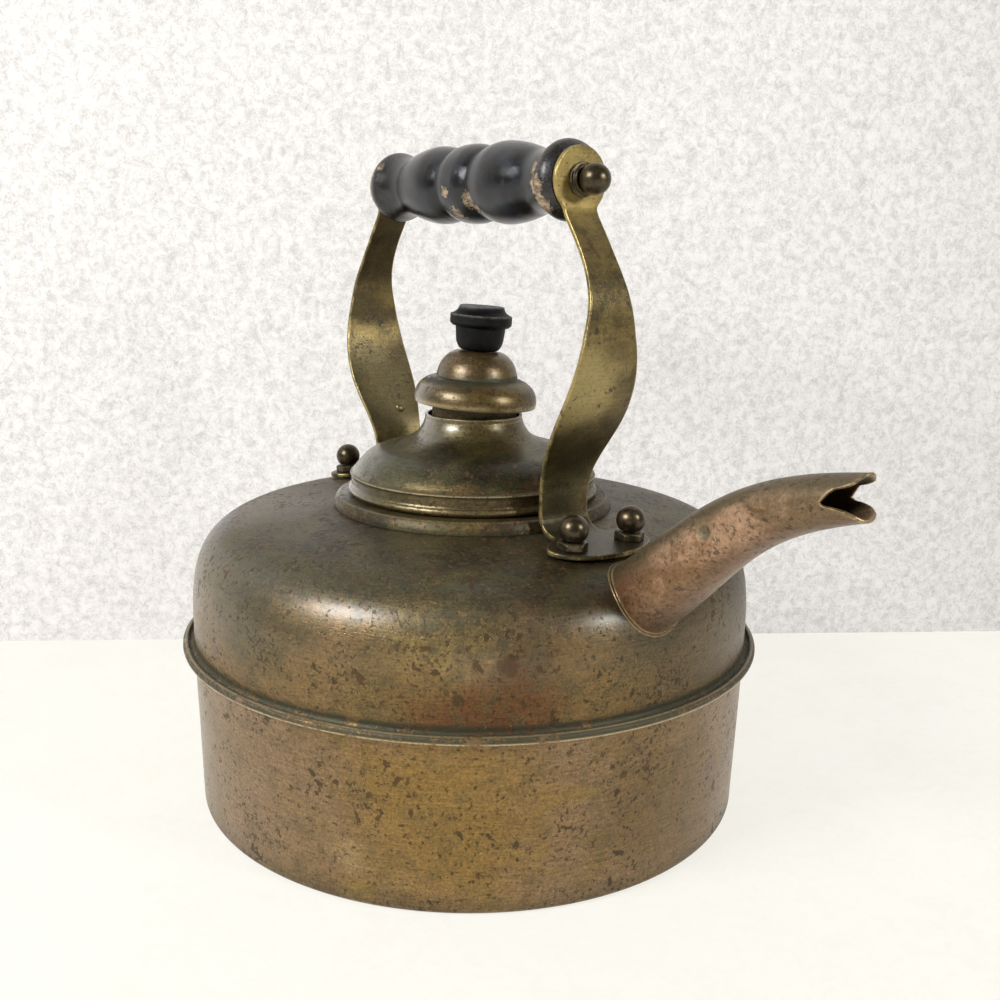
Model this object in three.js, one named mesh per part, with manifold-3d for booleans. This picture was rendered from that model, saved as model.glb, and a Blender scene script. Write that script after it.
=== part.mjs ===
// Copper tea kettle: a low round body with a rolled seam, a curved spout with a notched mouth, a lift-off lid
// that carries a steam cap and knob, and a turned wooden grip held between two bowed brass straps.
// Millimetres, +Z up. The origin is on the body's axis at the flat base, and +X points along the spout.
import * as THREE from 'three';
import { mergeVertices } from 'three/addons/utils/BufferGeometryUtils.js';
import Module from 'manifold-3d';

const wasm = await Module();
wasm.setup();

// Gaps that pieces share, and how far every cut runs on past what it cuts
const runningGap = 0.3;
const solderGap = 0.1;
const overrun = 6;

// How finely round pieces are divided
const bodySides = 40;
const lidSides = 32;
const capSides = 20;
const gripSides = 20;
const spoutSides = 16;
const fastenerSides = 12;
const hexSides = 6;
const arcSteps = 2;
const curveSteps = 8;

// Pan: the lower shell, pressed from one sheet, with its edge rolled over the dome's flange
const bodySheet = 1.0;
const panFootRadius = 94.8;
const wallRadius = 96.2;
const footRounding = 2.2;
const seamHeight = 55;
const seamProjection = 3.8;
const seamFillet = 1.8;

// Dome: the upper shell, from its flange in the seam to the mouth under the lid
const domeWallHeight = 8.2;
const shoulderWidth = 30;
const shoulderHeight = 33.1;
const shoulderRisePull = 24;
const shoulderInwardPull = 24;
const domeTopSlopeShare = 0.08;

// Seat ring: the raised collar round the mouth, with a sleeve that reaches down through it
const seatRadius = 48.2;
const seatRounding = 2.1;
const seatRise = 4.1;
const seatRingWidth = 6.9;
const seatSleeveWall = 1.0;
const seatSleeveDepth = 7.1;
const seatRoundingShares = [[1, 0], [0.87, 0.37], [0.54, 0.74], [0, 1]];

// Spout: a tapered tube in the plane of the handle, flanged and soldered to the dome
const spoutRootDepth = 43.2;
const spoutRootRise = 10;
const spoutLength = 107.6;
const spoutRise = 66.2;
const spoutPullShares = [[0.568, 0.505], [0.501, 0.82]];
const spoutRootRadius = 12.65;
const spoutMiddleRadius = 11.35;
const spoutMouthRadius = 6.0;
const spoutWall = 0.9;
const spoutLip = 1.4;
const spoutFlangeWidth = 0.8;
const spoutFlangeThickness = 0.5;
const beakDepth = 9.4;
const beakUpperShares = [
  [-1, 0], [-0.734, 0.367], [-0.564, 0.55], [-0.33, 0.517], [-0.074, 0.667], [0.2, 1.1],
];
const beakLowerShares = [
  [-1, 0], [-0.894, -0.158], [-0.638, -0.267], [-0.34, -0.467], [-0.138, -0.733], [0, -1.1],
];

// Lid: a spun dome with a rolled rim, a fine bead above it and a neck that flares up to the steam vent
const lidSheet = 0.9;
const lidRimOverlap = 1.8;
const lidRimRoll = 1.4;
const lidBandStep = 1.0;
const lidBandHeight = 5.2;
const lidFineBead = 0.35;
const neckRadius = 16.7;
const lidCrownHeight = 20.4;
const lidCurveShares = [
  [0.972, 0.03], [0.909, 0.137], [0.799, 0.284], [0.642, 0.397], [0.445, 0.471],
  [0.268, 0.549], [0.13, 0.647], [0.047, 0.784], [0.008, 0.902], [0, 1],
];
const bezelGap = 0.4;
const bezelWall = 1.0;
const bezelDepth = 7;
const bezelRise = 4.5;

// Vent plate: the pierced disc across the neck that the steam cap is screwed to
const ventPlateDepth = 3.5;
const ventPlateThickness = 1.0;
const ventHoleCount = 6;
const ventHoleRadius = 2.6;
const ventHoleCircle = 10.2;

// Steam cap, which leans a little on its worn screw, with a collar inside it and a spacer round the screw
const capLeanDegrees = 3.3;
const capLeanTowardsDegrees = 54.7;
const capSheet = 1.0;
const brimRadius = 21;
const brimClear = 3.3;
const brimHeight = 9.2;
const crownRadius = 14;
const crownHeight = 8.9;
const brimCurveShares = [
  [0.957, 0], [1, 0.185], [0.957, 0.42], [0.8, 0.663], [0.514, 0.859], [0.2, 0.967], [0, 1],
];
const crownCurveShares = [[1, 0], [0.95, 0.33], [0.871, 0.6], [0.743, 0.83], [0.593, 0.966], [0.43, 1]];
const capCollarGap = 1.2;
const capCollarWall = 1.0;
const capCollarDepth = 1.7;
const capScrewRadius = 2;
const capScrewHeadRadius = 4;
const capScrewHeadHeight = 2.4;
const capScrewLoose = 0.5;
const spacerWall = 1.5;

// Knob: turned and painted, with a cup below and a coved rim
const knobFootRadius = 5.9;
const knobCupRadius = 8.5;
const knobCupHeight = 7.9;
const knobRimRadius = 10.5;
const knobRimEasing = 1.0;
const knobRimHeight = 3.0;
const knobCoveHeight = 3.0;
const knobTopRadius = 7.5;
const knobCupShares = [[0, 0], [0.54, 0.16], [0.79, 0.36], [0.9, 0.65], [1, 1]];
const knobCoveShares = [[1, 0], [0.62, 0.16], [0.28, 0.42], [0.1, 0.72], [0, 1]];

// Handle straps: flat brass, bowed outwards, with an eye at the grip and a turned-out foot on the dome
const strapThickness = 1.5;
const strapSeatClear = 0.65;
const gripRise = 109.1;
const eyeSpread = 2.8;
const eyeRadius = 9.9;
const eyeBendDrop = 8.7;
const eyeBendLength = 3.4;
const eyeSlopeDegrees = 36.8;
const eyePull = 25.5;
const bulgeSpread = 18.7;
const bulgeDrop = 45.9;
const bulgePullDown = 23.1;
const bulgePullUp = 9.7;
const waistRise = 12;
const waistPull = 15.2;
const footBendRise = 7.1;
const footBendSpread = 8.4;
const strapWaistHalf = 9.5;
const strapWidestHalf = 13.1;
const strapWidestRise = 26.1;
const strapNeckHalf = 6.2;
const strapNeckDrop = 18.2;
const footHalfWidth = 19;
const footHalfDepth = 10;
const footSetBack = 0.9;
const footPitchDegrees = 3.7;
const footJoinDegrees = 131;

// Studs through each foot: a bolt from inside the dome, with a hexagon nut and a ball nut on top
const studSpread = 18.5;
const studSpacing = 22.9;
const studRadius = 2.1;
const studHeadRadius = 4.2;
const studHeadThickness = 1.6;
const hexAcrossCorners = 9.7;
const hexThickness = 2.3;
const footBallRadius = 4.5;
const ballSeatShare = 0.71;
const ballHoleShare = 0.45;

// Rivet low on the rear strap
const rivetHeadRadius = 1.9;
const rivetHeadHeight = 1.1;
const rivetShankRadius = 1.1;
const rivetTailHeight = 0.6;
const rivetRise = 13.6;
const rivetOffset = 3.1;

// Grip: turned wood on a through rod, with a stepped collar and a ball nut outside each eye
const gripRadius = 12.9;
const gripBeadShares = [[0, 0.992], [0.06, 0.98], [0.12, 0.925], [0.172, 0.845]];
const gripBarrelShares = [
  [0.172, 0.845], [0.21, 0.895], [0.27, 0.957], [0.35, 1], [0.44, 0.978],
  [0.53, 0.92], [0.61, 0.84], [0.69, 0.75], [0.75, 0.745], [0.82, 0.8],
  [0.87, 0.87], [0.916, 0.93], [0.955, 0.905], [0.98, 0.84], [1, 0.767],
];
const rodRadius = 2.1;
const gripCollarRadius = 5.1;
const gripCollarThickness = 1.0;
const gripCollarStepRadius = 4.3;
const gripCollarStepThickness = 1.3;
const gripBallRadius = 4.6;

// Finishes
const wornCopper = { color: 0x8c7355, roughness: 0.42, metalness: 0.85 };
const spoutCopper = { color: 0x9b7558, roughness: 0.42, metalness: 0.85 };
const darkCopper = { color: 0x6f6049, roughness: 0.45, metalness: 0.85 };
const agedBrass = { color: 0x80713f, roughness: 0.4, metalness: 0.9 };
const darkBronze = { color: 0x4e4536, roughness: 0.28, metalness: 0.9 };
const dullSteel = { color: 0x77756f, roughness: 0.45, metalness: 0.9 };
const blackPaint = { color: 0x24262a, roughness: 0.35, metalness: 0 };
const mattBlack = { color: 0x1c1c1d, roughness: 0.6, metalness: 0 };

const quarterTurn = Math.PI / 2;
const radians = THREE.MathUtils.degToRad;
const model = new THREE.Group();

// A closed geometry as a solid that can be cut and joined
function solid(geometry) {
  const bare = geometry.clone();
  bare.deleteAttribute('normal');
  bare.deleteAttribute('uv');
  const merged = mergeVertices(bare);
  const corners = merged.index.array;
  const kept = [];
  for (let i = 0; i < corners.length; i += 3) {
    const [a, b, c] = corners.slice(i, i + 3);
    if (a !== b && b !== c && c !== a) {
      kept.push(a, b, c);
    }
  }
  const vertProperties = merged.attributes.position.array;
  return new wasm.Manifold(new wasm.Mesh({ numProp: 3, vertProperties, triVerts: Uint32Array.from(kept) }));
}

// A cut solid as a geometry again
function shaped(cutSolid) {
  const mesh = cutSolid.getMesh();
  const geometry = new THREE.BufferGeometry();
  geometry.setAttribute('position', new THREE.BufferAttribute(mesh.vertProperties, mesh.numProp));
  geometry.setIndex(new THREE.BufferAttribute(mesh.triVerts, 1));
  geometry.computeVertexNormals();
  return geometry;
}

function addPiece(parent, name, geometry, finish) {
  const piece = new THREE.Mesh(geometry, new THREE.MeshStandardMaterial(finish));
  piece.name = name;
  parent.add(piece);
}

// Radius and height pairs turned round the Z axis; a profile that starts off the axis closes on itself
function turned(profile, sides) {
  const points = profile.map(([radius, height]) => new THREE.Vector2(radius, height));
  if (points[0].x > 0) {
    points.push(points[0].clone());
  }
  const geometry = new THREE.LatheGeometry(points, sides);
  geometry.rotateX(quarterTurn);
  return geometry;
}

// A straight round bar on the Z axis between two heights
function bar(radius, low, high, sides) {
  return turned([[0, low], [radius, low], [radius, high], [0, high]], sides);
}

// A round sleeve on the Z axis between two heights
function sleeve(boreRadius, radius, low, high, sides) {
  return turned([[boreRadius, low], [radius, low], [radius, high], [boreRadius, high]], sides);
}

// Points along an arc in a profile, from one angle to another in degrees
function arc([centreRadius, centreHeight], radius, fromDegrees, toDegrees, steps = arcSteps) {
  const points = [];
  for (let i = 0; i <= steps; i += 1) {
    const angle = radians(THREE.MathUtils.lerp(fromDegrees, toDegrees, i / steps));
    points.push([centreRadius + radius * Math.cos(angle), centreHeight + radius * Math.sin(angle)]);
  }
  return points;
}

// A freehand curve through shares of two spans, each span given as its low end and its length
function curveThrough(shares, [lowX, spanX], [lowY, spanY]) {
  const places = shares.map(([x, y]) => new THREE.Vector2(lowX + spanX * x, lowY + spanY * y));
  return new THREE.SplineCurve(places).getPoints(shares.length - 1).map((point) => [point.x, point.y]);
}

// A path moved sideways to its left by one distance, keeping its corners square
function offsetPath(path, distance) {
  return path.map(([x, y], i) => {
    const before = path[Math.max(i - 1, 0)];
    const after = path[Math.min(i + 1, path.length - 1)];
    const incoming = new THREE.Vector2(x - before[0], y - before[1]).normalize();
    const outgoing = new THREE.Vector2(after[0] - x, after[1] - y).normalize();
    const along = incoming.clone().add(outgoing).normalize();
    const squareness = along.dot(i > 0 ? incoming : outgoing);
    return [x - (along.y * distance) / squareness, y + (along.x * distance) / squareness];
  });
}

// The closed profile of a sheet of one thickness that lies to the left of its outer path
function sheetProfile(outerPath, thickness) {
  return [...outerPath, ...offsetPath(outerPath, thickness).reverse()];
}

// Height of a path at a radius; the path narrows as it goes
function heightAtRadius(path, radius) {
  const after = Math.max(path.findIndex((point) => point[0] <= radius), 1);
  const [startRadius, startHeight] = path[after - 1];
  const [endRadius, endHeight] = path[after];
  return startHeight + ((endHeight - startHeight) * (radius - startRadius)) / (endRadius - startRadius);
}

// Radius of a path at a height; the path rises as it goes
function radiusAtHeight(path, height) {
  const swapped = path.map(([radius, level]) => [-level, radius]);
  return heightAtRadius(swapped, -height);
}

// A flat outline of X and Z places, extruded along Y about the middle plane
function sidePrism(outline, width) {
  const shape = new THREE.Shape(outline.map(([x, z]) => new THREE.Vector2(x, z)));
  const geometry = new THREE.ExtrudeGeometry(shape, { depth: width, bevelEnabled: false });
  geometry.translate(0, 0, -width / 2);
  geometry.rotateX(quarterTurn);
  return geometry;
}

// A round bar along a curve of X and Z places, with a radius that follows the share travelled
function barAlong(curve, radiusAt, steps) {
  const geometry = new THREE.CylinderGeometry(1, 1, 1, spoutSides, steps);
  geometry.translate(0, 1 / 2, 0);
  const places = geometry.attributes.position;
  for (let i = 0; i < places.count; i += 1) {
    const share = places.getY(i);
    const centre = curve.getPoint(share);
    const along = curve.getTangent(share);
    const across = places.getX(i) * radiusAt(share);
    const sideways = places.getZ(i) * radiusAt(share);
    places.setXYZ(i, centre.x - across * along.y, sideways, centre.y + across * along.x);
  }
  return geometry;
}

// Seam: three sheets thick, the pan's flange, the dome's flange on it and the pan's fold over both
const seamRadius = wallRadius + seamProjection;
const flangeFootRadius = wallRadius + seamFillet;
const flangeBottom = seamHeight + bodySheet;
const flangeTop = flangeBottom + bodySheet;
const seamTop = flangeTop + bodySheet;

function buildPan() {
  const rollRadius = (seamTop - seamHeight) / 2;
  const rollCentre = [seamRadius - rollRadius, seamHeight + rollRadius];
  const foldInnerRadius = flangeFootRadius + solderGap;
  const pocketRadius = seamRadius - bodySheet;
  const filletCentre = [flangeFootRadius, seamHeight - seamFillet];
  const footCentre = [panFootRadius - footRounding, footRounding];
  const profile = [
    [0, 0],
    ...arc(footCentre, footRounding, -90, 0),
    ...arc(filletCentre, seamFillet, 180, 90),
    ...arc(rollCentre, rollRadius, -90, 90, 2 * arcSteps),
    [foldInnerRadius, seamTop],
    [foldInnerRadius, flangeTop],
    [pocketRadius, flangeTop],
    [pocketRadius, flangeBottom],
    ...arc(filletCentre, seamFillet + bodySheet, 90, 180),
    ...arc(footCentre, footRounding - bodySheet, 0, -90),
    [0, bodySheet],
  ];
  addPiece(model, 'body_pan', turned(profile, bodySides), wornCopper);
}

// The dome's outer path, from the edge of its flange up over the shoulder and in to the mouth
const seatBoreRadius = seatRadius - seatRingWidth;
const mouthRadius = seatBoreRadius + seatSleeveWall + solderGap;
const shoulderStart = flangeTop + seamFillet + domeWallHeight;
const shoulderEnd = new THREE.Vector2(wallRadius - shoulderWidth, shoulderStart + shoulderHeight);
const shoulderPull = new THREE.Vector2(shoulderInwardPull, -shoulderInwardPull * domeTopSlopeShare);
const shoulderCurve = new THREE.CubicBezierCurve(
  new THREE.Vector2(wallRadius, shoulderStart),
  new THREE.Vector2(wallRadius, shoulderStart + shoulderRisePull),
  shoulderPull.add(shoulderEnd),
  shoulderEnd,
);
const domePath = [
  [seamRadius - bodySheet - solderGap, flangeTop],
  ...arc([flangeFootRadius, flangeTop + seamFillet], seamFillet, 270, 180),
  ...shoulderCurve.getPoints(curveSteps).map((point) => [point.x, point.y]),
  [mouthRadius, shoulderEnd.y + (shoulderEnd.x - mouthRadius) * domeTopSlopeShare],
];
const domeInnerPath = offsetPath(domePath, bodySheet);

// Handle places, out from the seat ring and up from the dome
const waistReach = seatRadius + strapSeatClear + strapThickness / 2;
const footBendReach = waistReach + footBendSpread;
const studReach = waistReach + studSpread;
const footCentreReach = studReach - footSetBack;
const footFrontReach = footCentreReach + footHalfDepth;
const footPitch = radians(footPitchDegrees);
const footSlope = Math.tan(footPitch);
const gripHeight = shoulderEnd.y + gripRise;
const eyeReach = waistReach + eyeSpread;

// Where a plane pitched like the foot would cross the stud's axis if it met the dome at a place
function levelAtStud(path, reach, sideways) {
  return heightAtRadius(path, Math.hypot(reach, sideways)) + (reach - studReach) * footSlope;
}

const footRests = [footBendReach, studReach, footFrontReach].map((reach) => levelAtStud(domePath, reach, 0));
const footTop = Math.max(...footRests) + runningGap + strapThickness;
const handleSides = [{ end: 'front', turn: 0 }, { end: 'rear', turn: Math.PI }];
const studHands = [{ hand: 'right', side: 1 }, { hand: 'left', side: -1 }];

// The stud's own frame: its origin is on the foot's top face, square to the foot
function studPlacement(side) {
  const placement = new THREE.Matrix4().makeRotationY(footPitch);
  return placement.setPosition(studReach, (side * studSpacing) / 2, footTop);
}

// Spout path in the X-Z plane, and its radius at a share of the way along
const spoutRoot = new THREE.Vector2(wallRadius - spoutRootDepth, seamTop + spoutRootRise);
const [spoutPullLow, spoutPullHigh, spoutEnd] = [...spoutPullShares, [1, 1]].map(
  ([x, z]) => new THREE.Vector2(spoutLength * x, spoutRise * z).add(spoutRoot),
);
const spoutCurve = new THREE.CubicBezierCurve(spoutRoot, spoutPullLow, spoutPullHigh, spoutEnd);
const mouthDirection = spoutEnd.clone().sub(spoutPullHigh).normalize();

function spoutRadiusAt(share) {
  const rest = 1 - share;
  const middleWeight = 2 * rest * share;
  return rest * rest * spoutRootRadius + middleWeight * spoutMiddleRadius + share * share * spoutMouthRadius;
}

// A tapered bar along the spout, thicker or thinner than its outer face, carried straight on past the mouth
function spoutBar(extraRadius, lengthPastMouth) {
  const bent = solid(barAlong(spoutCurve, (share) => spoutRadiusAt(share) + extraRadius, 2 * curveSteps));
  const straight = new THREE.LineCurve(
    spoutEnd.clone().addScaledVector(mouthDirection, -spoutLip),
    spoutEnd.clone().addScaledVector(mouthDirection, lengthPastMouth),
  );
  return bent.add(solid(barAlong(straight, () => spoutMouthRadius + extraRadius, 1)));
}

function buildDome() {
  let dome = solid(turned(sheetProfile(domePath, bodySheet), bodySides));
  dome = dome.subtract(spoutBar(-spoutWall, overrun));
  for (const { turn } of handleSides) {
    for (const { side } of studHands) {
      const hole = bar(studRadius + runningGap, -overrun, overrun, fastenerSides);
      hole.applyMatrix4(studPlacement(side));
      hole.rotateZ(turn);
      dome = dome.subtract(solid(hole));
    }
  }
  addPiece(model, 'body_dome', shaped(dome), wornCopper);
}

// The space inside the dome's outer face moved out by one distance
function domeEnvelope(distance) {
  const outside = offsetPath(domePath, -distance);
  const crown = outside.at(-1);
  return solid(turned([[0, seamHeight], [seamRadius, seamHeight], ...outside, [0, crown[1]]], bodySides));
}

function buildSpout() {
  const flangeReach = domeEnvelope(runningGap + spoutFlangeThickness);
  const flange = spoutBar(spoutFlangeWidth, spoutLip).intersect(flangeReach);
  const blank = spoutBar(0, spoutLip).add(flange);
  const tube = blank.subtract(domeEnvelope(runningGap)).subtract(spoutBar(-spoutWall, overrun));
  const upper = curveThrough(beakUpperShares, [0, beakDepth], [0, spoutMouthRadius]);
  const lower = curveThrough(beakLowerShares, [0, beakDepth], [0, spoutMouthRadius]);
  const clear = spoutMouthRadius + overrun;
  const outline = [...lower, [overrun, -clear], [overrun, clear], ...upper.reverse().slice(0, -1)];
  const mouthCut = sidePrism(outline, 2 * clear);
  mouthCut.rotateY(-mouthDirection.angle());
  mouthCut.translate(spoutEnd.x, 0, spoutEnd.y);
  addPiece(model, 'spout', shaped(tube.subtract(solid(mouthCut))), spoutCopper);
}

// Seat ring, laid on the dome's sloping top
const sleeveRadius = seatBoreRadius + seatSleeveWall;
const seatFoot = heightAtRadius(domePath, seatRadius) + solderGap;
const seatTop = seatFoot + seatRise;

function buildSeatRing() {
  const landRadius = seatRadius - seatRounding;
  const profile = [
    [seatBoreRadius, seatTop - seatSleeveDepth],
    [sleeveRadius, seatTop - seatSleeveDepth],
    [sleeveRadius, seatFoot + (seatRadius - sleeveRadius) * domeTopSlopeShare],
    ...curveThrough(seatRoundingShares, [landRadius, seatRounding], [seatFoot, seatRise]),
    [seatBoreRadius, seatTop],
  ];
  addPiece(model, 'lid_seat_ring', turned(profile, bodySides), wornCopper);
}

// Lid: its rolled rim rests on the seat ring, and its curve narrows to the neck
const lidRimRadius = seatBoreRadius + lidRimOverlap;
const lidBandRadius = lidRimRadius - lidBandStep;
const lidRollCentre = [lidRimRadius - lidRimRoll, seatTop + runningGap + lidRimRoll];
const lidBandTop = lidRollCentre[1] + lidBandHeight;
const neckTop = lidBandTop + lidCrownHeight;
const lidRoll = arc(lidRollCentre, lidRimRoll, -90, 60, 2 * arcSteps);
const lidCurveAcross = [neckRadius, lidBandRadius - neckRadius];
const lidCurve = curveThrough(lidCurveShares, lidCurveAcross, [lidBandTop, lidCrownHeight]);
const lidInnerPath = offsetPath([...lidRoll, [lidBandRadius, lidBandTop], ...lidCurve], lidSheet);

function buildLid() {
  const fineBead = arc([lidBandRadius, lidBandTop], lidFineBead, -90, 70);
  const profile = [...lidRoll, ...fineBead, ...lidCurve, ...lidInnerPath.toReversed()];
  addPiece(model, 'lid_dome', turned(profile, lidSides), wornCopper);
  const bezelRadius = seatBoreRadius - bezelGap;
  const low = seatTop - bezelDepth;
  const bezel = sleeve(bezelRadius - bezelWall, bezelRadius, low, seatTop + bezelRise, lidSides);
  addPiece(model, 'lid_bezel', bezel, darkCopper);
}

const ventPlateTop = neckTop - ventPlateDepth;

function buildVentPlate() {
  const plateRadius = radiusAtHeight(lidInnerPath, ventPlateTop) - solderGap;
  const low = ventPlateTop - ventPlateThickness;
  let plate = solid(bar(plateRadius, low, ventPlateTop, lidSides));
  plate = plate.subtract(solid(bar(capScrewRadius + capScrewLoose, low - overrun, neckTop, fastenerSides)));
  for (let i = 0; i < ventHoleCount; i += 1) {
    const hole = bar(ventHoleRadius, low - overrun, neckTop, fastenerSides);
    hole.translate(ventHoleCircle, 0, 0);
    hole.rotateZ((2 * Math.PI * i) / ventHoleCount);
    plate = plate.subtract(solid(hole));
  }
  addPiece(model, 'vent_plate', shaped(plate), darkCopper);
}

// All on the cap screw leans together about the middle of the vent plate; heights are above its top face
function buildCap() {
  const leaning = new THREE.Group();
  const towards = radians(capLeanTowardsDegrees);
  const tippingAxis = new THREE.Vector3(-Math.sin(towards), Math.cos(towards), 0);
  leaning.position.z = ventPlateTop;
  leaning.quaternion.setFromAxisAngle(tippingAxis, radians(capLeanDegrees));
  model.add(leaning);

  const screwHole = capScrewRadius + runningGap;
  const brimBottom = ventPlateDepth + brimClear;
  const brimTop = brimBottom + brimHeight;
  const crownTop = brimTop + crownHeight;
  const brimAcross = [crownRadius, brimRadius - crownRadius];
  const brim = curveThrough(brimCurveShares, brimAcross, [brimBottom, brimHeight]);
  const crown = curveThrough(crownCurveShares, [0, crownRadius], [brimTop, crownHeight]);
  const capPath = [...brim.slice(0, -1), ...crown, [screwHole, crownTop]];
  addPiece(leaning, 'steam_cap', turned(sheetProfile(capPath, capSheet), capSides), wornCopper);

  const collarRadius = neckRadius - lidSheet - capCollarGap;
  const collarTop = heightAtRadius(offsetPath(capPath, capSheet), collarRadius) - runningGap;
  const collarBottom = ventPlateDepth - capCollarDepth;
  const collar = sleeve(collarRadius - capCollarWall, collarRadius, collarBottom, collarTop, capSides);
  addPiece(leaning, 'cap_collar', collar, darkCopper);

  const spacerTop = crownTop - capSheet - runningGap;
  const spacer = sleeve(screwHole, screwHole + spacerWall, runningGap, spacerTop, fastenerSides);
  addPiece(leaning, 'vent_spacer', spacer, dullSteel);

  const headTop = -ventPlateThickness - capScrewLoose;
  const knobBottom = crownTop + runningGap;
  const cupTop = knobBottom + knobCupHeight;
  const screw = [
    [0, headTop - capScrewHeadHeight],
    [capScrewHeadRadius, headTop - capScrewHeadHeight],
    [capScrewHeadRadius, headTop],
    [capScrewRadius, headTop],
    [capScrewRadius, cupTop],
    [0, cupTop],
  ];
  addPiece(leaning, 'cap_screw', turned(screw, fastenerSides), dullSteel);

  const rimBottom = cupTop + knobRimEasing;
  const rimTop = rimBottom + knobRimHeight;
  const cupSpan = [knobFootRadius, knobCupRadius - knobFootRadius];
  const coveSpan = [knobTopRadius, knobRimRadius - knobTopRadius];
  const knob = [
    [0, cupTop + runningGap],
    [screwHole, cupTop + runningGap],
    [screwHole, knobBottom],
    ...curveThrough(knobCupShares, cupSpan, [knobBottom, knobCupHeight]),
    [knobRimRadius - knobRimEasing, cupTop],
    [knobRimRadius, rimBottom],
    ...curveThrough(knobCoveShares, coveSpan, [rimTop, knobCoveHeight]),
    [0, rimTop + knobCoveHeight],
  ];
  addPiece(leaning, 'knob', turned(knob, capSides), mattBlack);
}

// Strap heights, the low ones up from the foot and the high ones down from the grip
const waistHeight = footTop + waistRise;
const footBendHeight = footTop + footBendRise;
const bulgeReach = waistReach + bulgeSpread;
const bulgeHeight = gripHeight - bulgeDrop;
const eyeBendHeight = gripHeight - eyeBendDrop;

// The strap seen from the side: its middle line from the foot's front edge up past the top of the eye
function strapMiddleLine() {
  const footMiddle = footTop - strapThickness / 2;
  const footPoint = (reach) => new THREE.Vector2(reach, footMiddle - (reach - studReach) * footSlope);
  const waist = new THREE.Vector2(waistReach, waistHeight);
  const bulge = new THREE.Vector2(bulgeReach, bulgeHeight);
  const eyeCorner = new THREE.Vector2(eyeReach, eyeBendHeight);
  const awayFromEye = new THREE.Vector2(0, -1).rotateAround(new THREE.Vector2(), radians(eyeSlopeDegrees));
  const eyeFoot = eyeCorner.clone().addScaledVector(awayFromEye, eyeBendLength);
  const footBend = new THREE.QuadraticBezierCurve(
    footPoint(footBendReach),
    footPoint(waistReach),
    new THREE.Vector2(waistReach, footBendHeight),
  );
  const lowerBow = new THREE.CubicBezierCurve(
    waist,
    waist.clone().setY(waistHeight + waistPull),
    bulge.clone().setY(bulgeHeight - bulgePullDown),
    bulge,
  );
  const upperBow = new THREE.CubicBezierCurve(
    bulge,
    bulge.clone().setY(bulgeHeight + bulgePullUp),
    eyeFoot.clone().addScaledVector(awayFromEye, eyePull),
    eyeFoot,
  );
  const eyeBend = new THREE.QuadraticBezierCurve(
    eyeFoot,
    eyeCorner,
    eyeCorner.clone().setY(eyeBendHeight + eyeBendLength),
  );
  const line = [
    footPoint(footFrontReach + overrun),
    ...footBend.getPoints(2 * arcSteps),
    ...lowerBow.getPoints(curveSteps),
    ...upperBow.getPoints(curveSteps).slice(1),
    ...eyeBend.getPoints(arcSteps).slice(1),
    new THREE.Vector2(eyeReach, gripHeight + eyeRadius + overrun),
  ];
  return line.map((point) => [point.x, point.y]);
}

// Half the strap's width at a height: it eases from waist to widest and on to the neck
function strapHalfAt(height) {
  const widestHeight = waistHeight + strapWidestRise;
  const rise = THREE.MathUtils.smoothstep(height, waistHeight, widestHeight);
  const fall = THREE.MathUtils.smoothstep(height, widestHeight, gripHeight - strapNeckDrop);
  const lowerHalf = THREE.MathUtils.lerp(strapWaistHalf, strapWidestHalf, rise);
  return THREE.MathUtils.lerp(lowerHalf, strapNeckHalf, fall);
}

// The strap seen from outside: its two flowing edges and the round eye on top
function strapFacePrism() {
  const steps = 2 * curveSteps;
  const right = [[strapWaistHalf, footBendHeight - strapThickness]];
  for (let i = 0; i <= steps; i += 1) {
    const height = THREE.MathUtils.lerp(waistHeight, eyeBendHeight, i / steps);
    right.push([strapHalfAt(height), height]);
  }
  const joinDegrees = THREE.MathUtils.radToDeg(Math.acos(strapNeckHalf / eyeRadius));
  const half = [...right, ...arc([0, gripHeight], eyeRadius, -joinDegrees, 90, curveSteps)];
  const left = half.slice(0, -1).reverse().map(([across, height]) => [-across, height]);
  const corners = [...half, ...left].map(([across, height]) => new THREE.Vector2(across, height));
  const shape = new THREE.Shape(corners);
  const geometry = new THREE.ExtrudeGeometry(shape, { depth: bulgeReach + overrun, bevelEnabled: false });
  geometry.rotateX(quarterTurn);
  geometry.rotateZ(quarterTurn);
  return geometry;
}

// The foot seen from above: the strap's width running into an oval that carries the two studs
function footPlanPrism() {
  const joinAngle = radians(footJoinDegrees);
  const joinX = footCentreReach + footHalfDepth * Math.cos(joinAngle);
  const joinY = footHalfWidth * Math.sin(joinAngle);
  const back = waistReach - overrun;
  const shape = new THREE.Shape();
  shape.moveTo(back, -strapWaistHalf);
  shape.lineTo(footBendReach - strapThickness, -strapWaistHalf);
  shape.quadraticCurveTo(footBendReach, -strapWaistHalf, joinX, -joinY);
  shape.absellipse(footCentreReach, 0, footHalfDepth, footHalfWidth, -joinAngle, joinAngle);
  shape.quadraticCurveTo(footBendReach, strapWaistHalf, footBendReach - strapThickness, strapWaistHalf);
  shape.lineTo(back, strapWaistHalf);
  const low = footTop - overrun;
  const options = { depth: footBendHeight - low, bevelEnabled: false, curveSegments: curveSteps };
  const geometry = new THREE.ExtrudeGeometry(shape, options);
  geometry.translate(0, 0, low);
  return geometry;
}

// The rivet's own frame: its origin is on the strap's middle line and its axis points inwards
function rivetPlacement() {
  const height = waistHeight + rivetRise;
  const line = strapMiddleLine();
  const above = line.findIndex((point) => point[1] >= height);
  const start = new THREE.Vector2(...line[above - 1]);
  const end = new THREE.Vector2(...line[above]);
  const lean = end.clone().sub(start).angle();
  const middle = start.lerp(end, (height - start.y) / (end.y - start.y));
  const placement = new THREE.Matrix4().makeRotationY(-lean);
  return placement.setPosition(middle.x, -rivetOffset, middle.y);
}

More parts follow.
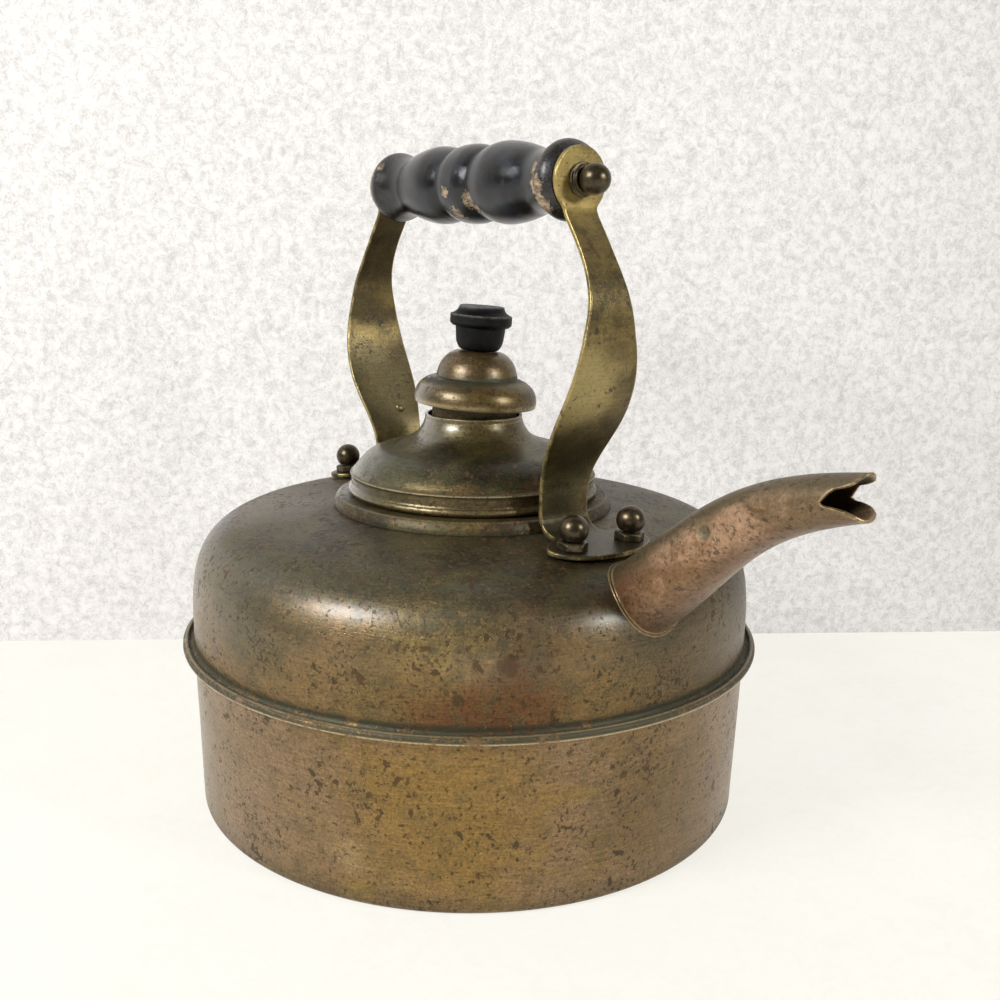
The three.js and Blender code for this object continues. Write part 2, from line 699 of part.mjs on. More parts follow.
function buildStrap(parent, end) {
  const line = strapMiddleLine();
  const innerFace = offsetPath(line, strapThickness / 2);
  const outline = [...offsetPath(line, -strapThickness / 2), ...innerFace.reverse()];
  const side = solid(sidePrism(outline, 2 * (footHalfWidth + overrun)));
  let strap = side.intersect(solid(strapFacePrism()).add(solid(footPlanPrism())));
  const rodHole = bar(rodRadius + runningGap, 0, eyeReach + overrun, fastenerSides);
  rodHole.rotateY(quarterTurn);
  rodHole.translate(0, 0, gripHeight);
  strap = strap.subtract(solid(rodHole));
  for (const { side: studSide } of studHands) {
    const hole = bar(studRadius + runningGap, -overrun, overrun, fastenerSides);
    hole.applyMatrix4(studPlacement(studSide));
    strap = strap.subtract(solid(hole));
  }
  if (end === 'rear') {
    const hole = bar(rivetShankRadius + runningGap, -overrun, overrun, fastenerSides);
    hole.applyMatrix4(rivetPlacement());
    strap = strap.subtract(solid(hole));
  }
  addPiece(parent, `${end}_strap`, shaped(strap), agedBrass);
}

function buildRivet(parent) {
  const face = strapThickness / 2 + runningGap;
  const dome = arc([0, 0], 1, 0, 90, 2 * arcSteps);
  const rivet = [
    [0, -face - rivetTailHeight],
    [rivetShankRadius + rivetTailHeight, -face - rivetTailHeight],
    [rivetShankRadius + rivetTailHeight, -face],
    [rivetShankRadius, -face],
    [rivetShankRadius, face],
    ...dome.map(([across, up]) => [across * rivetHeadRadius, face + up * rivetHeadHeight]),
  ];
  const geometry = turned(rivet, fastenerSides);
  geometry.applyMatrix4(rivetPlacement());
  addPiece(parent, 'rear_strap_rivet', geometry, agedBrass);
}

// How high a ball nut's centre and the end of its blind hole lie above its flat seat
function ballCentreAbove(radius) {
  return radius * ballSeatShare;
}

function ballHoleAbove(radius) {
  return ballCentreAbove(radius) + radius * ballHoleShare;
}

// A ball nut on the Z axis, flat where it seats
function ballNut(radius, seat, holeRadius) {
  const seatDegrees = THREE.MathUtils.radToDeg(Math.asin(ballSeatShare));
  return turned(
    [
      [0, seat + ballHoleAbove(radius)],
      [holeRadius, seat + ballHoleAbove(radius)],
      [holeRadius, seat],
      ...arc([0, seat + ballCentreAbove(radius)], radius, -seatDegrees, 90, curveSteps),
    ],
    fastenerSides,
  );
}

// One stud with its bolt, hexagon nut and ball nut; heights are above the foot's top face
function buildStud(parent, name, side) {
  const stud = new THREE.Group();
  stud.applyMatrix4(studPlacement(side));
  parent.add(stud);

  const headReaches = [studReach - studHeadRadius, studReach, studReach + studHeadRadius];
  const ceilings = headReaches.map((reach) => levelAtStud(domeInnerPath, reach, studSpacing / 2));
  const headTop = Math.min(...ceilings) - footTop - runningGap;
  const nutBottom = runningGap;
  const nutTop = nutBottom + hexThickness;
  const ballSeat = nutTop + runningGap;
  const shankTop = ballSeat + ballHoleAbove(footBallRadius) - runningGap;
  const bolt = [
    [0, headTop - studHeadThickness],
    [studHeadRadius, headTop - studHeadThickness],
    [studHeadRadius, headTop],
    [studRadius, headTop],
    [studRadius, shankTop],
    [0, shankTop],
  ];
  addPiece(stud, `${name}_strap_bolt`, turned(bolt, fastenerSides), dullSteel);

  const hole = solid(bar(studRadius + runningGap, -overrun, overrun, fastenerSides));
  const hexagon = solid(bar(hexAcrossCorners / 2, nutBottom, nutTop, hexSides));
  addPiece(stud, `${name}_hex_nut`, shaped(hexagon.subtract(hole)), darkBronze);
  addPiece(stud, `${name}_ball_nut`, ballNut(footBallRadius, ballSeat, studRadius + runningGap), darkBronze);
}

// Places along the rod, out from the middle of the grip
const gripHalfLength = eyeReach - strapThickness / 2 - runningGap;
const gripCollarSeat = eyeReach + strapThickness / 2 + runningGap;
const gripCollarStep = gripCollarSeat + gripCollarThickness;
const gripCollarEnd = gripCollarStep + gripCollarStepThickness;
const gripBallSeat = gripCollarEnd + runningGap;
const rodHalfLength = gripBallSeat + ballHoleAbove(gripBallRadius) - runningGap;

// Turns a geometry made on the Z axis onto the grip's rod
function ontoRod(geometry) {
  geometry.rotateY(quarterTurn);
  geometry.translate(0, 0, gripHeight);
  return geometry;
}

function buildGripEnd(parent, end) {
  const hole = rodRadius + runningGap;
  const collar = [
    [hole, gripCollarSeat],
    [gripCollarRadius, gripCollarSeat],
    [gripCollarRadius, gripCollarStep],
    [gripCollarStepRadius, gripCollarStep],
    [gripCollarStepRadius, gripCollarEnd],
    [hole, gripCollarEnd],
  ];
  addPiece(parent, `${end}_grip_collar`, ontoRod(turned(collar, gripSides)), darkBronze);
  addPiece(parent, `${end}_grip_ball_nut`, ontoRod(ballNut(gripBallRadius, gripBallSeat, hole)), darkBronze);
}

function buildGrip() {
  const hole = rodRadius + runningGap;
  const bead = curveThrough(gripBeadShares, [0, gripHalfLength], [0, gripRadius]);
  const barrel = curveThrough(gripBarrelShares, [0, gripHalfLength], [0, gripRadius]);
  const half = [...bead.slice(0, -1), ...barrel].map(([along, radius]) => [radius, along]);
  const otherHalf = half.slice(1).reverse().map(([radius, along]) => [radius, -along]);
  const profile = [[hole, -gripHalfLength], ...otherHalf, ...half, [hole, gripHalfLength]];
  addPiece(model, 'grip', ontoRod(turned(profile, gripSides)), blackPaint);
  const rod = bar(rodRadius, -rodHalfLength, rodHalfLength, fastenerSides);
  addPiece(model, 'grip_rod', ontoRod(rod), dullSteel);
}

function buildHandle() {
  for (const { end, turn } of handleSides) {
    const upright = new THREE.Group();
    upright.rotation.z = turn;
    model.add(upright);
    buildStrap(upright, end);
    for (const { hand, side } of studHands) {
      buildStud(upright, `${end}_${hand}`, side);
    }
    buildGripEnd(upright, end);
    if (end === 'rear') {
      buildRivet(upright);
    }
  }
  buildGrip();
}

buildPan();
buildDome();
buildSpout();
buildSeatRing();
buildLid();
buildVentPlate();
buildCap();
buildHandle();

export default model;
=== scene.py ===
import functools
import math

import bpy
import numpy as np
from mathutils import Matrix, Vector


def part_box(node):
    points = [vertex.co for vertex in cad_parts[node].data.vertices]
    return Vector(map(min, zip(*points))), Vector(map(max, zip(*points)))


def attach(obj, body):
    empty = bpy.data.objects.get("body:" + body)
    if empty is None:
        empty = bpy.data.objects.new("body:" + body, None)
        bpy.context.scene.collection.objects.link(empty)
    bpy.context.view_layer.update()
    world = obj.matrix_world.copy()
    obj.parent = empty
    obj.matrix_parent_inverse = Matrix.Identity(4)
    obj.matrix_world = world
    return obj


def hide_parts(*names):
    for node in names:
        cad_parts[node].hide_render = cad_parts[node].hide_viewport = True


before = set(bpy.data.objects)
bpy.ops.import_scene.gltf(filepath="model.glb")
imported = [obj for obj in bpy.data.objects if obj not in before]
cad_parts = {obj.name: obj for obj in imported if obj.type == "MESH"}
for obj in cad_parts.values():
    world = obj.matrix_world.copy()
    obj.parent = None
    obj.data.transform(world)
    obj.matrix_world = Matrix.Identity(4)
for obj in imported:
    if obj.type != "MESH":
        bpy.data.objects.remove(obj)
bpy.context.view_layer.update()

mm = 0.001
gap = 0.3  # between pieces that sit against each other
fullTurn = 2 * np.pi
print("kettle: frame loaded with", len(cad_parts), "nodes")


# Points on an arc: centre plus radius times (cos, sin) of angles evenly spaced between two
def arcPoints(centre, radius, fromDegrees, toDegrees, count=9):
    angle = np.radians(np.linspace(fromDegrees, toDegrees, count))
    return np.column_stack([centre[0] + radius * np.cos(angle), centre[1] + radius * np.sin(angle)])


# A cubic Bezier: (1-t)^3 a + 3t(1-t)^2 b + 3t^2(1-t) c + t^3 d
def bezierPoints(a, b, c, d, count=40):
    a, b, c, d = (np.asarray(point, float) for point in (a, b, c, d))
    t = np.linspace(0, 1, count)[:, None]
    return (1 - t) ** 3 * a + 3 * t * (1 - t) ** 2 * b + 3 * t * t * (1 - t) * c + t**3 * d


# A quadratic Bezier: (1-t)^2 a + 2t(1-t) b + t^2 c
def bendPoints(a, b, c, count=14):
    a, b, c = (np.asarray(point, float) for point in (a, b, c))
    t = np.linspace(0, 1, count)[:, None]
    return (1 - t) ** 2 * a + 2 * t * (1 - t) * b + t * t * c


# A smooth line through every given point: on each span the Catmull-Rom cubic of the four points round it
def smoothLine(points, perSpan=6):
    points = np.asarray(points, float)
    run = np.vstack([2 * points[0] - points[1], points, 2 * points[-1] - points[-2]])
    t = np.linspace(0, 1, perSpan, endpoint=False)[:, None, None]
    a, b, c, d = run[:-3], run[1:-2], run[2:-1], run[3:]
    span = 0.5 * (2 * b + (c - a) * t + (2 * a - 5 * b + 4 * c - d) * t**2 + (3 * b - a - 3 * c + d) * t**3)
    return np.vstack([span.transpose(1, 0, 2).reshape(-1, 2), points[-1:]])


# Shares of two spans as a smooth line: low plus span times share, on each axis
def sharesLine(shares, low, span, perSpan=6):
    return smoothLine(np.asarray(low) + np.asarray(span) * np.asarray(shares, float), perSpan)


# A path with each sharp corner replaced by a small bend that starts and ends 'reach' away from it
def softened(path, reach, closed=False, steps=5):
    path = np.asarray(path, float)
    path = path[np.r_[True, np.hypot(*np.diff(path, axis=0).T) > 1e-4]]
    if closed:
        before, after = np.roll(path, 1, 0), np.roll(path, -1, 0)
    else:
        before, after = np.vstack([path[:1], path[:-1]]), np.vstack([path[1:], path[-1:]])
    toBefore, toAfter = before - path, after - path
    lengthBefore = np.maximum(np.hypot(*toBefore.T), 1e-9)
    lengthAfter = np.maximum(np.hypot(*toAfter.T), 1e-9)
    cosine = -(toBefore * toAfter).sum(1) / (lengthBefore * lengthAfter)
    sharp = np.clip(cosine, -1, 1) < np.cos(np.radians(20))
    if not closed:
        sharp[[0, -1]] = False
    start, end = (
        path + towards * (np.where(sharp, np.minimum(reach, 0.45 * length), 0) / length)[:, None]
        for towards, length in ((toBefore, lengthBefore), (toAfter, lengthAfter))
    )
    t = np.linspace(0, 1, steps)[None, :, None]
    bends = (1 - t) ** 2 * start[:, None] + 2 * t * (1 - t) * path[:, None] + t * t * end[:, None]
    points = bends.reshape(-1, 2)
    return points[np.r_[True, np.hypot(*np.diff(points, axis=0).T) > 1e-3]]


# Unit directions along a path, at each of its points
def directions(path, *spacing):
    along = np.gradient(path, *spacing, axis=0)
    return along / np.maximum(np.hypot(*along.T), 1e-9)[:, None]


# Length travelled along a path, at each of its points
def lengthAlong(path):
    return np.append(0, np.cumsum(np.hypot(*np.diff(path, axis=0).T)))


# The path moved to its left by a distance along its own normal
def movedLeft(path, distance):
    along = directions(path)
    return path + distance * np.column_stack([-along[:, 1], along[:, 0]])


# A sheet's closed profile: its outer path, and back along the path moved left by the thickness
def sheetLoop(path, thickness):
    return np.vstack([path, movedLeft(path, thickness)[::-1]])


# Angles of places set evenly round a full turn
def roundAngles(count):
    return np.linspace(0, fullTurn, count, endpoint=False)


# Points round the axis, each at its radius, angle and height
def roundAxis(radius, angle, height):
    return np.stack(np.broadcast_arrays(radius * np.cos(angle), radius * np.sin(angle), height), -1)


# Rings of a turned piece: ring i is the circle of the profile's radius i at its height i
def turnedRings(profile, sides):
    return roundAxis(profile[:, :1], roundAngles(sides), profile[:, 1:])


# An object of the scene, from its mesh, camera or lamp
def added(name, data):
    made = bpy.data.objects.new(name, data)
    bpy.context.scene.collection.objects.link(made)
    return made


# A mesh of quads between neighbouring rings, wrapped round each ring, its faces outward. The rows wrap too for
# a closed profile, and otherwise a point in the middle of the first and last ring closes each end.
def ringMesh(name, rings, closed=False):
    rows, around = rings.shape[:2]
    points = rings.reshape(-1, 3)
    i, j = np.meshgrid(np.arange(rows if closed else rows - 1), np.arange(around), indexing="ij")
    row, nextRow, nextColumn = i * around, (i + 1) % rows * around, (j + 1) % around
    quads = np.stack([row + j, row + nextColumn, nextRow + nextColumn, nextRow + j], -1).reshape(-1, 4)
    faces = quads.tolist()
    if not closed:
        points = np.vstack([points, rings[0].mean(0), rings[-1].mean(0)])
        column = np.arange(around)
        following = (column + 1) % around
        middle, top = rows * around, (rows - 1) * around
        faces += np.stack([0 * column + middle, following, column], -1).tolist()
        faces += np.stack([0 * column + middle + 1, top + column, top + following], -1).tolist()
    a, b, c, d = (points[quads[:, k]] for k in range(4))
    volume = np.einsum("ij,ij->i", a, np.cross(b, c)).sum() + np.einsum("ij,ij->i", a, np.cross(c, d)).sum()
    if volume < 0:
        faces = [face[::-1] for face in faces]
    mesh = bpy.data.meshes.new(name)
    mesh.from_pydata((points * mm).tolist(), [], faces)
    return added(name, mesh)


# A visible piece in place of a node, from rings of points in millimetres, with its attributes' values by label
def surfacePiece(name, rings, material, body, node, closed=False, values=None):
    piece = ringMesh(name, rings, closed)
    mesh = piece.data
    mesh.polygons.foreach_set("use_smooth", np.ones(len(mesh.polygons), bool))
    for label, value in (values or {}).items():
        layer = mesh.attributes.new(label, "FLOAT", "POINT")
        full = np.concatenate([np.broadcast_to(value, rings.shape[:2]).ravel(), np.zeros(0 if closed else 2)])
        layer.data.foreach_set("value", full.astype(np.float32))
    mesh.materials.append(material)
    mesh.update()
    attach(piece, body)
    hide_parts(node)
    return piece


def rotation(degrees, axis):
    return Matrix.Rotation(math.radians(degrees), 4, axis)


# Points carried by a 4x4 matrix
def placed(points, matrix):
    matrix = np.array(matrix, float)
    return points @ matrix[:3, :3].T + matrix[:3, 3]


# Waves laid over each other: the sum of cosines round the axis times cosines up it, from one seed
def unevenness(angle, height, seed, size, counts=7):
    rng = np.random.default_rng(seed)
    total = 0
    for count in range(2, 2 + counts):
        lobes = np.cos(count * angle + rng.uniform(0, fullTurn))
        waves = np.cos(fullTurn * height / rng.uniform(45, 130) + rng.uniform(0, fullTurn))
        total = total + lobes * waves / count**0.6
    return size * total


# 0 below the low value, 1 above the high one, and 3u^2 - 2u^3 between
def eased(value, low, high):
    u = np.clip((value - low) / (high - low), 0, 1)
    return u * u * (3 - 2 * u)


# An sRGB colour of 0 to 255 as the linear colour that a socket takes
def tone(red, green, blue):
    share = np.array([red, green, blue]) / 255
    linear = np.where(share <= 0.04045, share / 12.92, ((share + 0.055) / 1.055) ** 2.4)
    return (*linear.tolist(), 1.0)


# A socket that takes part in sums: each operator adds its Math node
class Signal:
    def __init__(self, finish, socket):
        self.finish = finish
        self.socket = socket

    def math(self, operation, *others, first=None):
        values = [self if first is None else first, *others]
        return self.finish.node("Math", {"operation": operation}, dict(enumerate(values)))

    def __add__(self, other):
        return self.math("ADD", other)

    __radd__ = __add__

    def __sub__(self, other):
        return self.math("SUBTRACT", other)

    def __rsub__(self, other):
        return self.math("SUBTRACT", self, first=other)

    def __mul__(self, other):
        return self.math("MULTIPLY", other)

    __rmul__ = __mul__

    def __truediv__(self, other):
        return self.math("DIVIDE", other)

    def __rtruediv__(self, other):
        return self.math("DIVIDE", self, first=other)

    def __pow__(self, other):
        return self.math("POWER", other)


# The nodes of a material or world while they are being put together
class Finish:
    def __init__(self, owner):
        owner.use_nodes = True
        self.owner = owner
        self.tree = owner.node_tree
        self.tree.nodes.clear()

    # One node: its type, its settings first, then the values or links of its sockets
    def node(self, kind, settings=None, sockets=None, output=0):
        made = self.tree.nodes.new("ShaderNode" + kind)
        for setting, value in (settings or {}).items():
            setattr(made, setting, value)
        for place, value in (sockets or {}).items():
            if isinstance(value, Signal):
                self.tree.links.new(value.socket, made.inputs[place])
            else:
                made.inputs[place].default_value = value
        return Signal(self, made.outputs[output]) if made.outputs else None

    # Places on the piece in millimetres, stretched by three factors about a point
    def places(self, about=(0, 0, 0), stretch=(1, 1, 1)):
        where = self.node("TexCoord", output="Object")
        scale = [factor / mm for factor in stretch]
        shift = [-centre * factor for centre, factor in zip(about, stretch)]
        return self.node("Mapping", {}, {"Vector": where, "Scale": scale, "Location": shift})

    def parts(self, vector):
        outputs = self.node("SeparateXYZ", {}, {0: vector}).socket.node.outputs
        return [Signal(self, part) for part in outputs]

    # Noise at a vector, or with its pattern moved to a point in millimetres
    def noise(self, at, grain, detail=4.0, roughness=0.55, distortion=0.0, output=0):
        vector = at if isinstance(at, Signal) else self.places(at)
        sockets = {"Vector": vector, "Scale": 1 / grain, "Detail": detail, "Roughness": roughness}
        return self.node("TexNoise", {}, {**sockets, "Distortion": distortion}, output)

    # Fine rings left by the spinning: a 4-D noise of radius and height, which changes slowly along X and Y
    def spunLines(self, radius, x, y, z, width, slowness):
        along = self.node("CombineXYZ", {}, {0: radius, 1: z, 2: x / slowness})
        sockets = {"Vector": along, "W": y / slowness, "Scale": 1 / width, "Detail": 3.0, "Roughness": 0.6}
        return self.node("TexNoise", {"noise_dimensions": "4D"}, sockets)

    # An eased step from one value to another as a signal goes from low to high
    def between(self, value, low, high, toLow=0.0, toHigh=1.0):
        settings = {"interpolation_type": "SMOOTHSTEP"}
        return self.node("MapRange", settings, {0: value, 1: low, 2: high, 3: toLow, 4: toHigh})

    # A step up from low to full, and down again from end to gone
    def within(self, value, low, full, end, gone, most=1.0):
        return self.between(value, low, full) * self.between(value, end, gone, most, 0.0)

    def mixed(self, share, first, second):
        return self.node("Mix", {"data_type": "RGBA"}, {0: share, 6: first, 7: second}, output=2)

    # Colours laid over one another, each with its share
    def layered(self, colour, *layers):
        for share, over in layers:
            colour = self.mixed(share, colour, over)
        return colour

    # A colour made lighter or darker by a value, 1 leaving it as it is
    def shaded(self, colour, value):
        return self.node("VectorMath", {"operation": "SCALE"}, {0: colour, "Scale": value})

    # Coordinates pushed about by a noise, so that marks lose their regular outline
    def ruffled(self, vector, grain, reach):
        push = self.noise(vector, grain, 3.0, output=1)
        centred = self.node("VectorMath", {"operation": "SUBTRACT"}, {0: push, 1: (0.5, 0.5, 0.5)})
        return self.node("VectorMath", {"operation": "ADD"}, {0: vector, 1: self.shaded(centred, 2 * reach)})

    # Ragged marks: 1 where a noise, helped along where they crowd, passes a level
    def blots(self, at, grain, level, crowd, helped):
        pattern = self.noise(at, grain, 3.0, 0.55, 0.15) + helped * (crowd - 0.5)
        return self.between(pattern, level, level + 0.04)

    # Specks: one in some of the cells of a Voronoi pattern, each of a size of its own
    def specks(self, vector, spacing, smallest, largest, share):
        sockets = {"Vector": vector, "Scale": 1 / spacing}
        away = self.node("TexVoronoi", {}, sockets)
        size, chance, _ = self.parts(Signal(self, away.socket.node.outputs["Color"]))
        radius = (smallest + (largest - smallest) * size * size) / spacing
        return self.between(away / radius, 0.5, 1.0, 1.0, 0.0) * self.between(chance, 1 - share, 1.01 - share)

    # A soft round patch about a point, 1 at its middle
    def patch(self, vector, centre, radius, hardness=0.3):
        away = self.node("VectorMath", {"operation": "DISTANCE"}, {0: vector, 1: centre}, output="Value")
        return self.between(away, radius * hardness, radius, 1.0, 0.0)

    # The strongest of several patches, each with a centre, a radius and a strength
    def patches(self, vector, places, hardness):
        found = [self.patch(vector, centre, radius, hardness) * most for centre, radius, most in places]
        return strongest(found)

    # Washes of colour, each with a centre, a radius, a colour and a strength
    def washed(self, colour, vector, washes, hardness):
        return self.layered(colour, *[
            (self.patch(vector, centre, radius, hardness) * strength, wash)
            for centre, radius, wash, strength in washes
        ])

    # Wear of three kinds: ragged flecks and blots, each by a point of its pattern, grain, level and strength,
    # and round pits by vector, spacing, smallest and largest radius, share and strength
    def pitting(self, crowd, flecks, blots, pits):
        ragged = [
            self.blots(shift, grain, level, crowd, helped) * most
            for (shift, grain, level, most), helped in ((flecks, 0.4), (blots, 0.3))
        ]
        return strongest([*ragged, self.specks(*pits[:-1]) * pits[-1]])

    # How strongly a point is marked by an attribute of the mesh
    def painted(self, label):
        return self.node("Attribute", {"attribute_name": label}, {}, output="Fac")

    def surface(self, colour, roughness, metallic, relief, reliefHeight, **plain):
        height = {"Height": relief, "Distance": reliefHeight * mm, "Strength": 1.0}
        sockets = {"Base Color": colour, "Roughness": roughness, "Metallic": metallic}
        sockets["Normal"] = self.node("Bump", {}, height)
        sockets.update({name.replace("_", " "): value for name, value in plain.items()})
        self.node("OutputMaterial", {}, {0: self.node("BsdfPrincipled", {}, sockets)})
        return self.owner


def larger(first, second):
    return first.math("MAXIMUM", second)


# The strongest of several signals at each point
def strongest(signals):
    return functools.reduce(larger, signals) if signals else 0.0


def newFinish(name):
    return Finish(bpy.data.materials.new(name))


# Tarnished copper: brown under patches of pink, gold and olive, and washes of colour about set places, some of
# them painted shade and some painted highlights; a dark film between set heights: tarnish, with painted shade
# on the dome's top and the inside pieces, and only painted shade at the pan's foot; ragged flecks and blots
# that crowd together, specks, dull green where dirt gathers, the bright line of rubbed edges, and painted
# glints of light. Everything lies under the fine rings of the spinning.
def tarnishedCopper(name, look):
    look = bodyLook | look
    finish = newFinish(name)
    spot = finish.places()
    x, y, z = finish.parts(spot)
    radius = (x * x + y * y) ** 0.5
    broad = finish.noise(look["about"], 46, 3.0, 0.5, 0.5)
    patchy = finish.noise((130, 40, -70), 20, 5.0, 0.62, 0.7)
    cloudy = finish.noise((-60, 90, 30), 7, 6.0, 0.68, 0.3)
    blotchy = finish.noise((7, 5, 64), 2.6, 5.0, 0.68)
    fine = finish.noise(spot, 0.8, 4.0, 0.72)
    spun = finish.spunLines(radius, x, y, z, 1.0, 14)
    finer = finish.spunLines(radius, x, y, z, 0.38, 9)
    loose = finish.ruffled(spot, 12, 8)
    rough = finish.ruffled(spot, 2.4, 1.3)

    colour = finish.mixed(finish.between(broad, 0.4, 0.6), look["brown"], look["pink"])
    colour = finish.mixed(finish.between(patchy, 0.5, 0.64, 0, look["goldShare"]), colour, look["gold"])
    colour = finish.washed(colour, loose, look["washes"], 0.25)
    colour = finish.mixed(finish.between(cloudy, 0.47, 0.63, 0, look["oliveShare"]), colour, look["olive"])
    ragged = z + ((patchy - 0.5) + (cloudy - 0.5) * 0.6) * look["ragged"]
    # dark film: tarnish, with painted shade on the dome's top and over the inside pieces, and only painted
    # shade at the pan's foot
    tarnishAndShade = strongest([finish.within(ragged, *heights) for heights in look["dark"]])
    greenish = finish.between(0.5 * patchy + 0.5 * blotchy, 0.44, 0.56)
    tarnishAndShadeTone = finish.mixed(greenish, look["darkTone"], look["greenTone"])
    colour = finish.mixed(tarnishAndShade * finish.between(blotchy, 0.34, 0.52, 0.5, 1.0), colour, tarnishAndShadeTone)
    texture = look["mottle"] * fine + look["streak"] * spun + look["thread"] * finer
    colour = finish.shaded(colour, look["low"] + texture)

    crowd = finish.noise((11, -37, 3), 15, 4.0, 0.6)
    flecks = ((2, 3, 8), 1.5, look["flecks"], 0.75)
    blots = ((31, 17, 9), 3.6, look["blots"], 0.85)
    pits = (rough, 2.5, 0.2, 0.75, look["pits"], 0.9)
    pitted = finish.pitting(crowd, flecks, blots, pits) * finish.between(fine, 0.3, 0.5, 0.5, 1.0)
    if look["marks"]:
        marks = finish.patches(rough, look["marks"], 0.6)
        pitted = larger(pitted, marks * finish.between(fine, 0.25, 0.45, 0.6, 1.0))
    rusty = finish.between(patchy + cloudy, 0.96, 1.1)
    colour = finish.mixed(pitted, colour, finish.mixed(rusty, look["spotTone"], look["rustTone"]))

    dull = finish.between(cloudy + (fine - 0.5) * 0.7, 0.32, 0.52)
    bands = [finish.within(z, low, low + soft, high - soft, high) for low, high, soft in look["dirty"]]
    dirt = strongest(bands) * dull
    colour = finish.mixed(dirt * 0.9, colour, finish.mixed(cloudy, look["dirtTone"], look["verdigris"]))
    rubbed = finish.painted("rubbed") * finish.between(fine + cloudy, 0.8, 1.05)
    colour = finish.mixed(rubbed, colour, look["rubbedTone"])
    # painted glints: pale specks that stand for sparkles of light on the metal
    paintedGlint = finish.between(finish.noise((5, 7, 3), 0.9, 2.0, 0.5), 0.735, 0.77)
    colour = finish.mixed(paintedGlint * crowd * look["paintedGlints"], colour, look["paintedGlintTone"])

    roughness = look["roughness"] + 0.3 * (fine - 0.5) + 0.16 * tarnishAndShade + 0.16 * pitted + 0.2 * dirt
    metallic = look["metallic"] - 0.12 * tarnishAndShade - 0.2 * pitted - 0.25 * dirt
    relief = 0.5 * fine + 0.3 * spun + 0.4 * finer + (0.3 + 0.6 * tarnishAndShade) * blotchy - 0.4 * pitted + 0.2 * dirt
    filmed = finish.within(z + (patchy - 0.5) * look["filmDrift"], *look["filmed"])
    matt, glossy = finish.patches(loose, look["matt"], 0.3), finish.patches(loose, look["glossy"], 0.3)
    least, further = look["film"]
    weight = (least + further * filmed + glossy) * (1 - 0.8 * pitted) * (1 - 0.85 * dirt) * (1 - matt)
    coat = {"Coat_Weight": weight, "Coat_Roughness": look["filmRoughness"], "Coat_IOR": 1.6}
    return finish.surface(colour, roughness - 0.1 * rubbed, metallic, relief, look["relief"], **coat)


bodyLook = {
    "brown": tone(116, 92, 52),
    "pink": tone(134, 102, 64),
    "gold": tone(130, 106, 52),
    "goldShare": 0.7,
    "olive": tone(82, 74, 44),
    "oliveShare": 0.6,
    "washes": [],
    # the dome's dark top: tarnish, and painted shade on the top that faces up
    "dark": [(76, 97, 200, 210, 0.95)],
    "ragged": 26,
    "darkTone": tone(25, 22, 11),
    "greenTone": tone(70, 66, 38),
    "low": -1.1,
    "mottle": 2.3,
    "streak": 0.6,
    "thread": 1.3,
    "flecks": 0.6,
    "blots": 0.63,
    "pits": 0.7,
    "marks": [],
    "spotTone": tone(50, 40, 12),
    "rustTone": tone(74, 44, 16),
    "dirty": [],
    "dirtTone": tone(28, 26, 15),
    "verdigris": tone(70, 72, 50),
    "rubbedTone": tone(212, 190, 146),
    "paintedGlints": 0.9,
    "paintedGlintTone": tone(206, 198, 176),
    "roughness": 0.33,
    "metallic": 0.62,
    "filmed": (66, 82, 92, 98),
    "filmDrift": 12,
    "film": (0.1, 0.48),
    "filmRoughness": 0.31,
    "matt": [],
    "glossy": [],
    "relief": 0.2,
    "about": (0, 0, 0),
}
panCopper = tarnishedCopper("panCopper", {
    "brown": tone(124, 99, 64),
    "pink": tone(137, 111, 82),
    "goldShare": 0.6,
    "washes": [
        ((75, -60, 30), 46, tone(134, 105, 50), 0.85),
        ((95, 5, 25), 40, tone(112, 88, 52), 0.85),
        ((20, -92, 30), 48, tone(130, 106, 78), 0.6),
        ((51, -80, 15), 9, tone(150, 126, 88), 0.8),
    ],
    "marks": [((84.8, -43.4, 22.7), 1.5, 0.8), ((95, -12, 40), 1.6, 0.7), ((30, -91, 12), 1.5, 0.7)],
    "oliveShare": 0.35,
    # painted shadow: darker towards the foot, where the pan stands on the floor
    "dark": [(-40, -30, -2, 8, 0.6)],
    "ragged": 8,
    "dirty": [(55.7, 61, 0.5)],
    "glossy": [((-50, -85, 35), 52, 0.45)],
    "flecks": 0.61,
    "blots": 0.645,
})
domeCopper = tarnishedCopper("domeCopper", {
    "about": (20, 5, 0),
    "gold": tone(118, 95, 52),
    "washes": [
        ((79, -52, 65), 32, tone(94, 57, 25), 0.9),
        ((38, -86, 72), 34, tone(112, 94, 58), 0.6),
        ((15, -90, 80), 30, tone(84, 76, 50), 0.8),
        ((70, -56, 86), 26, tone(150, 126, 70), 0.8),
        # painted shade: the next two washes darken the dome's right side
        ((94, 15, 70), 36, tone(90, 74, 46), 0.8),
        ((80, 54, 78), 34, tone(70, 60, 36), 0.85),
        ((94, -4, 92), 24, tone(58, 54, 28), 0.8),
    ],
    "marks": [
        ((48.5, -72.5, 87.6), 3.4, 1.0), ((52.7, -74.3, 82.6), 2.8, 1.0), ((82, -45.2, 77.2), 4.4, 0.7),
        ((76.4, -58, 67.6), 2.2, 0.7), ((73.6, -60, 69.8), 1.8, 0.65), ((90, 20, 80), 3.5, 0.7),
        ((-60, -62, 80), 3.6, 0.75), ((-30, 78, 86), 4, 0.7), ((-88, 20, 70), 2.8, 0.7), ((40, 84, 72), 3, 0.7),
    ],
    "dirty": [(50, 60.6, 1.6)],
    "matt": [((76, 60, 76), 54, 0.95), ((96, 20, 72), 40, 0.6)],
    "glossy": [((-50, -85, 70), 46, 0.35), ((80, -52, 88), 22, 0.8), ((-40, -60, 96), 34, 0.3)],
})
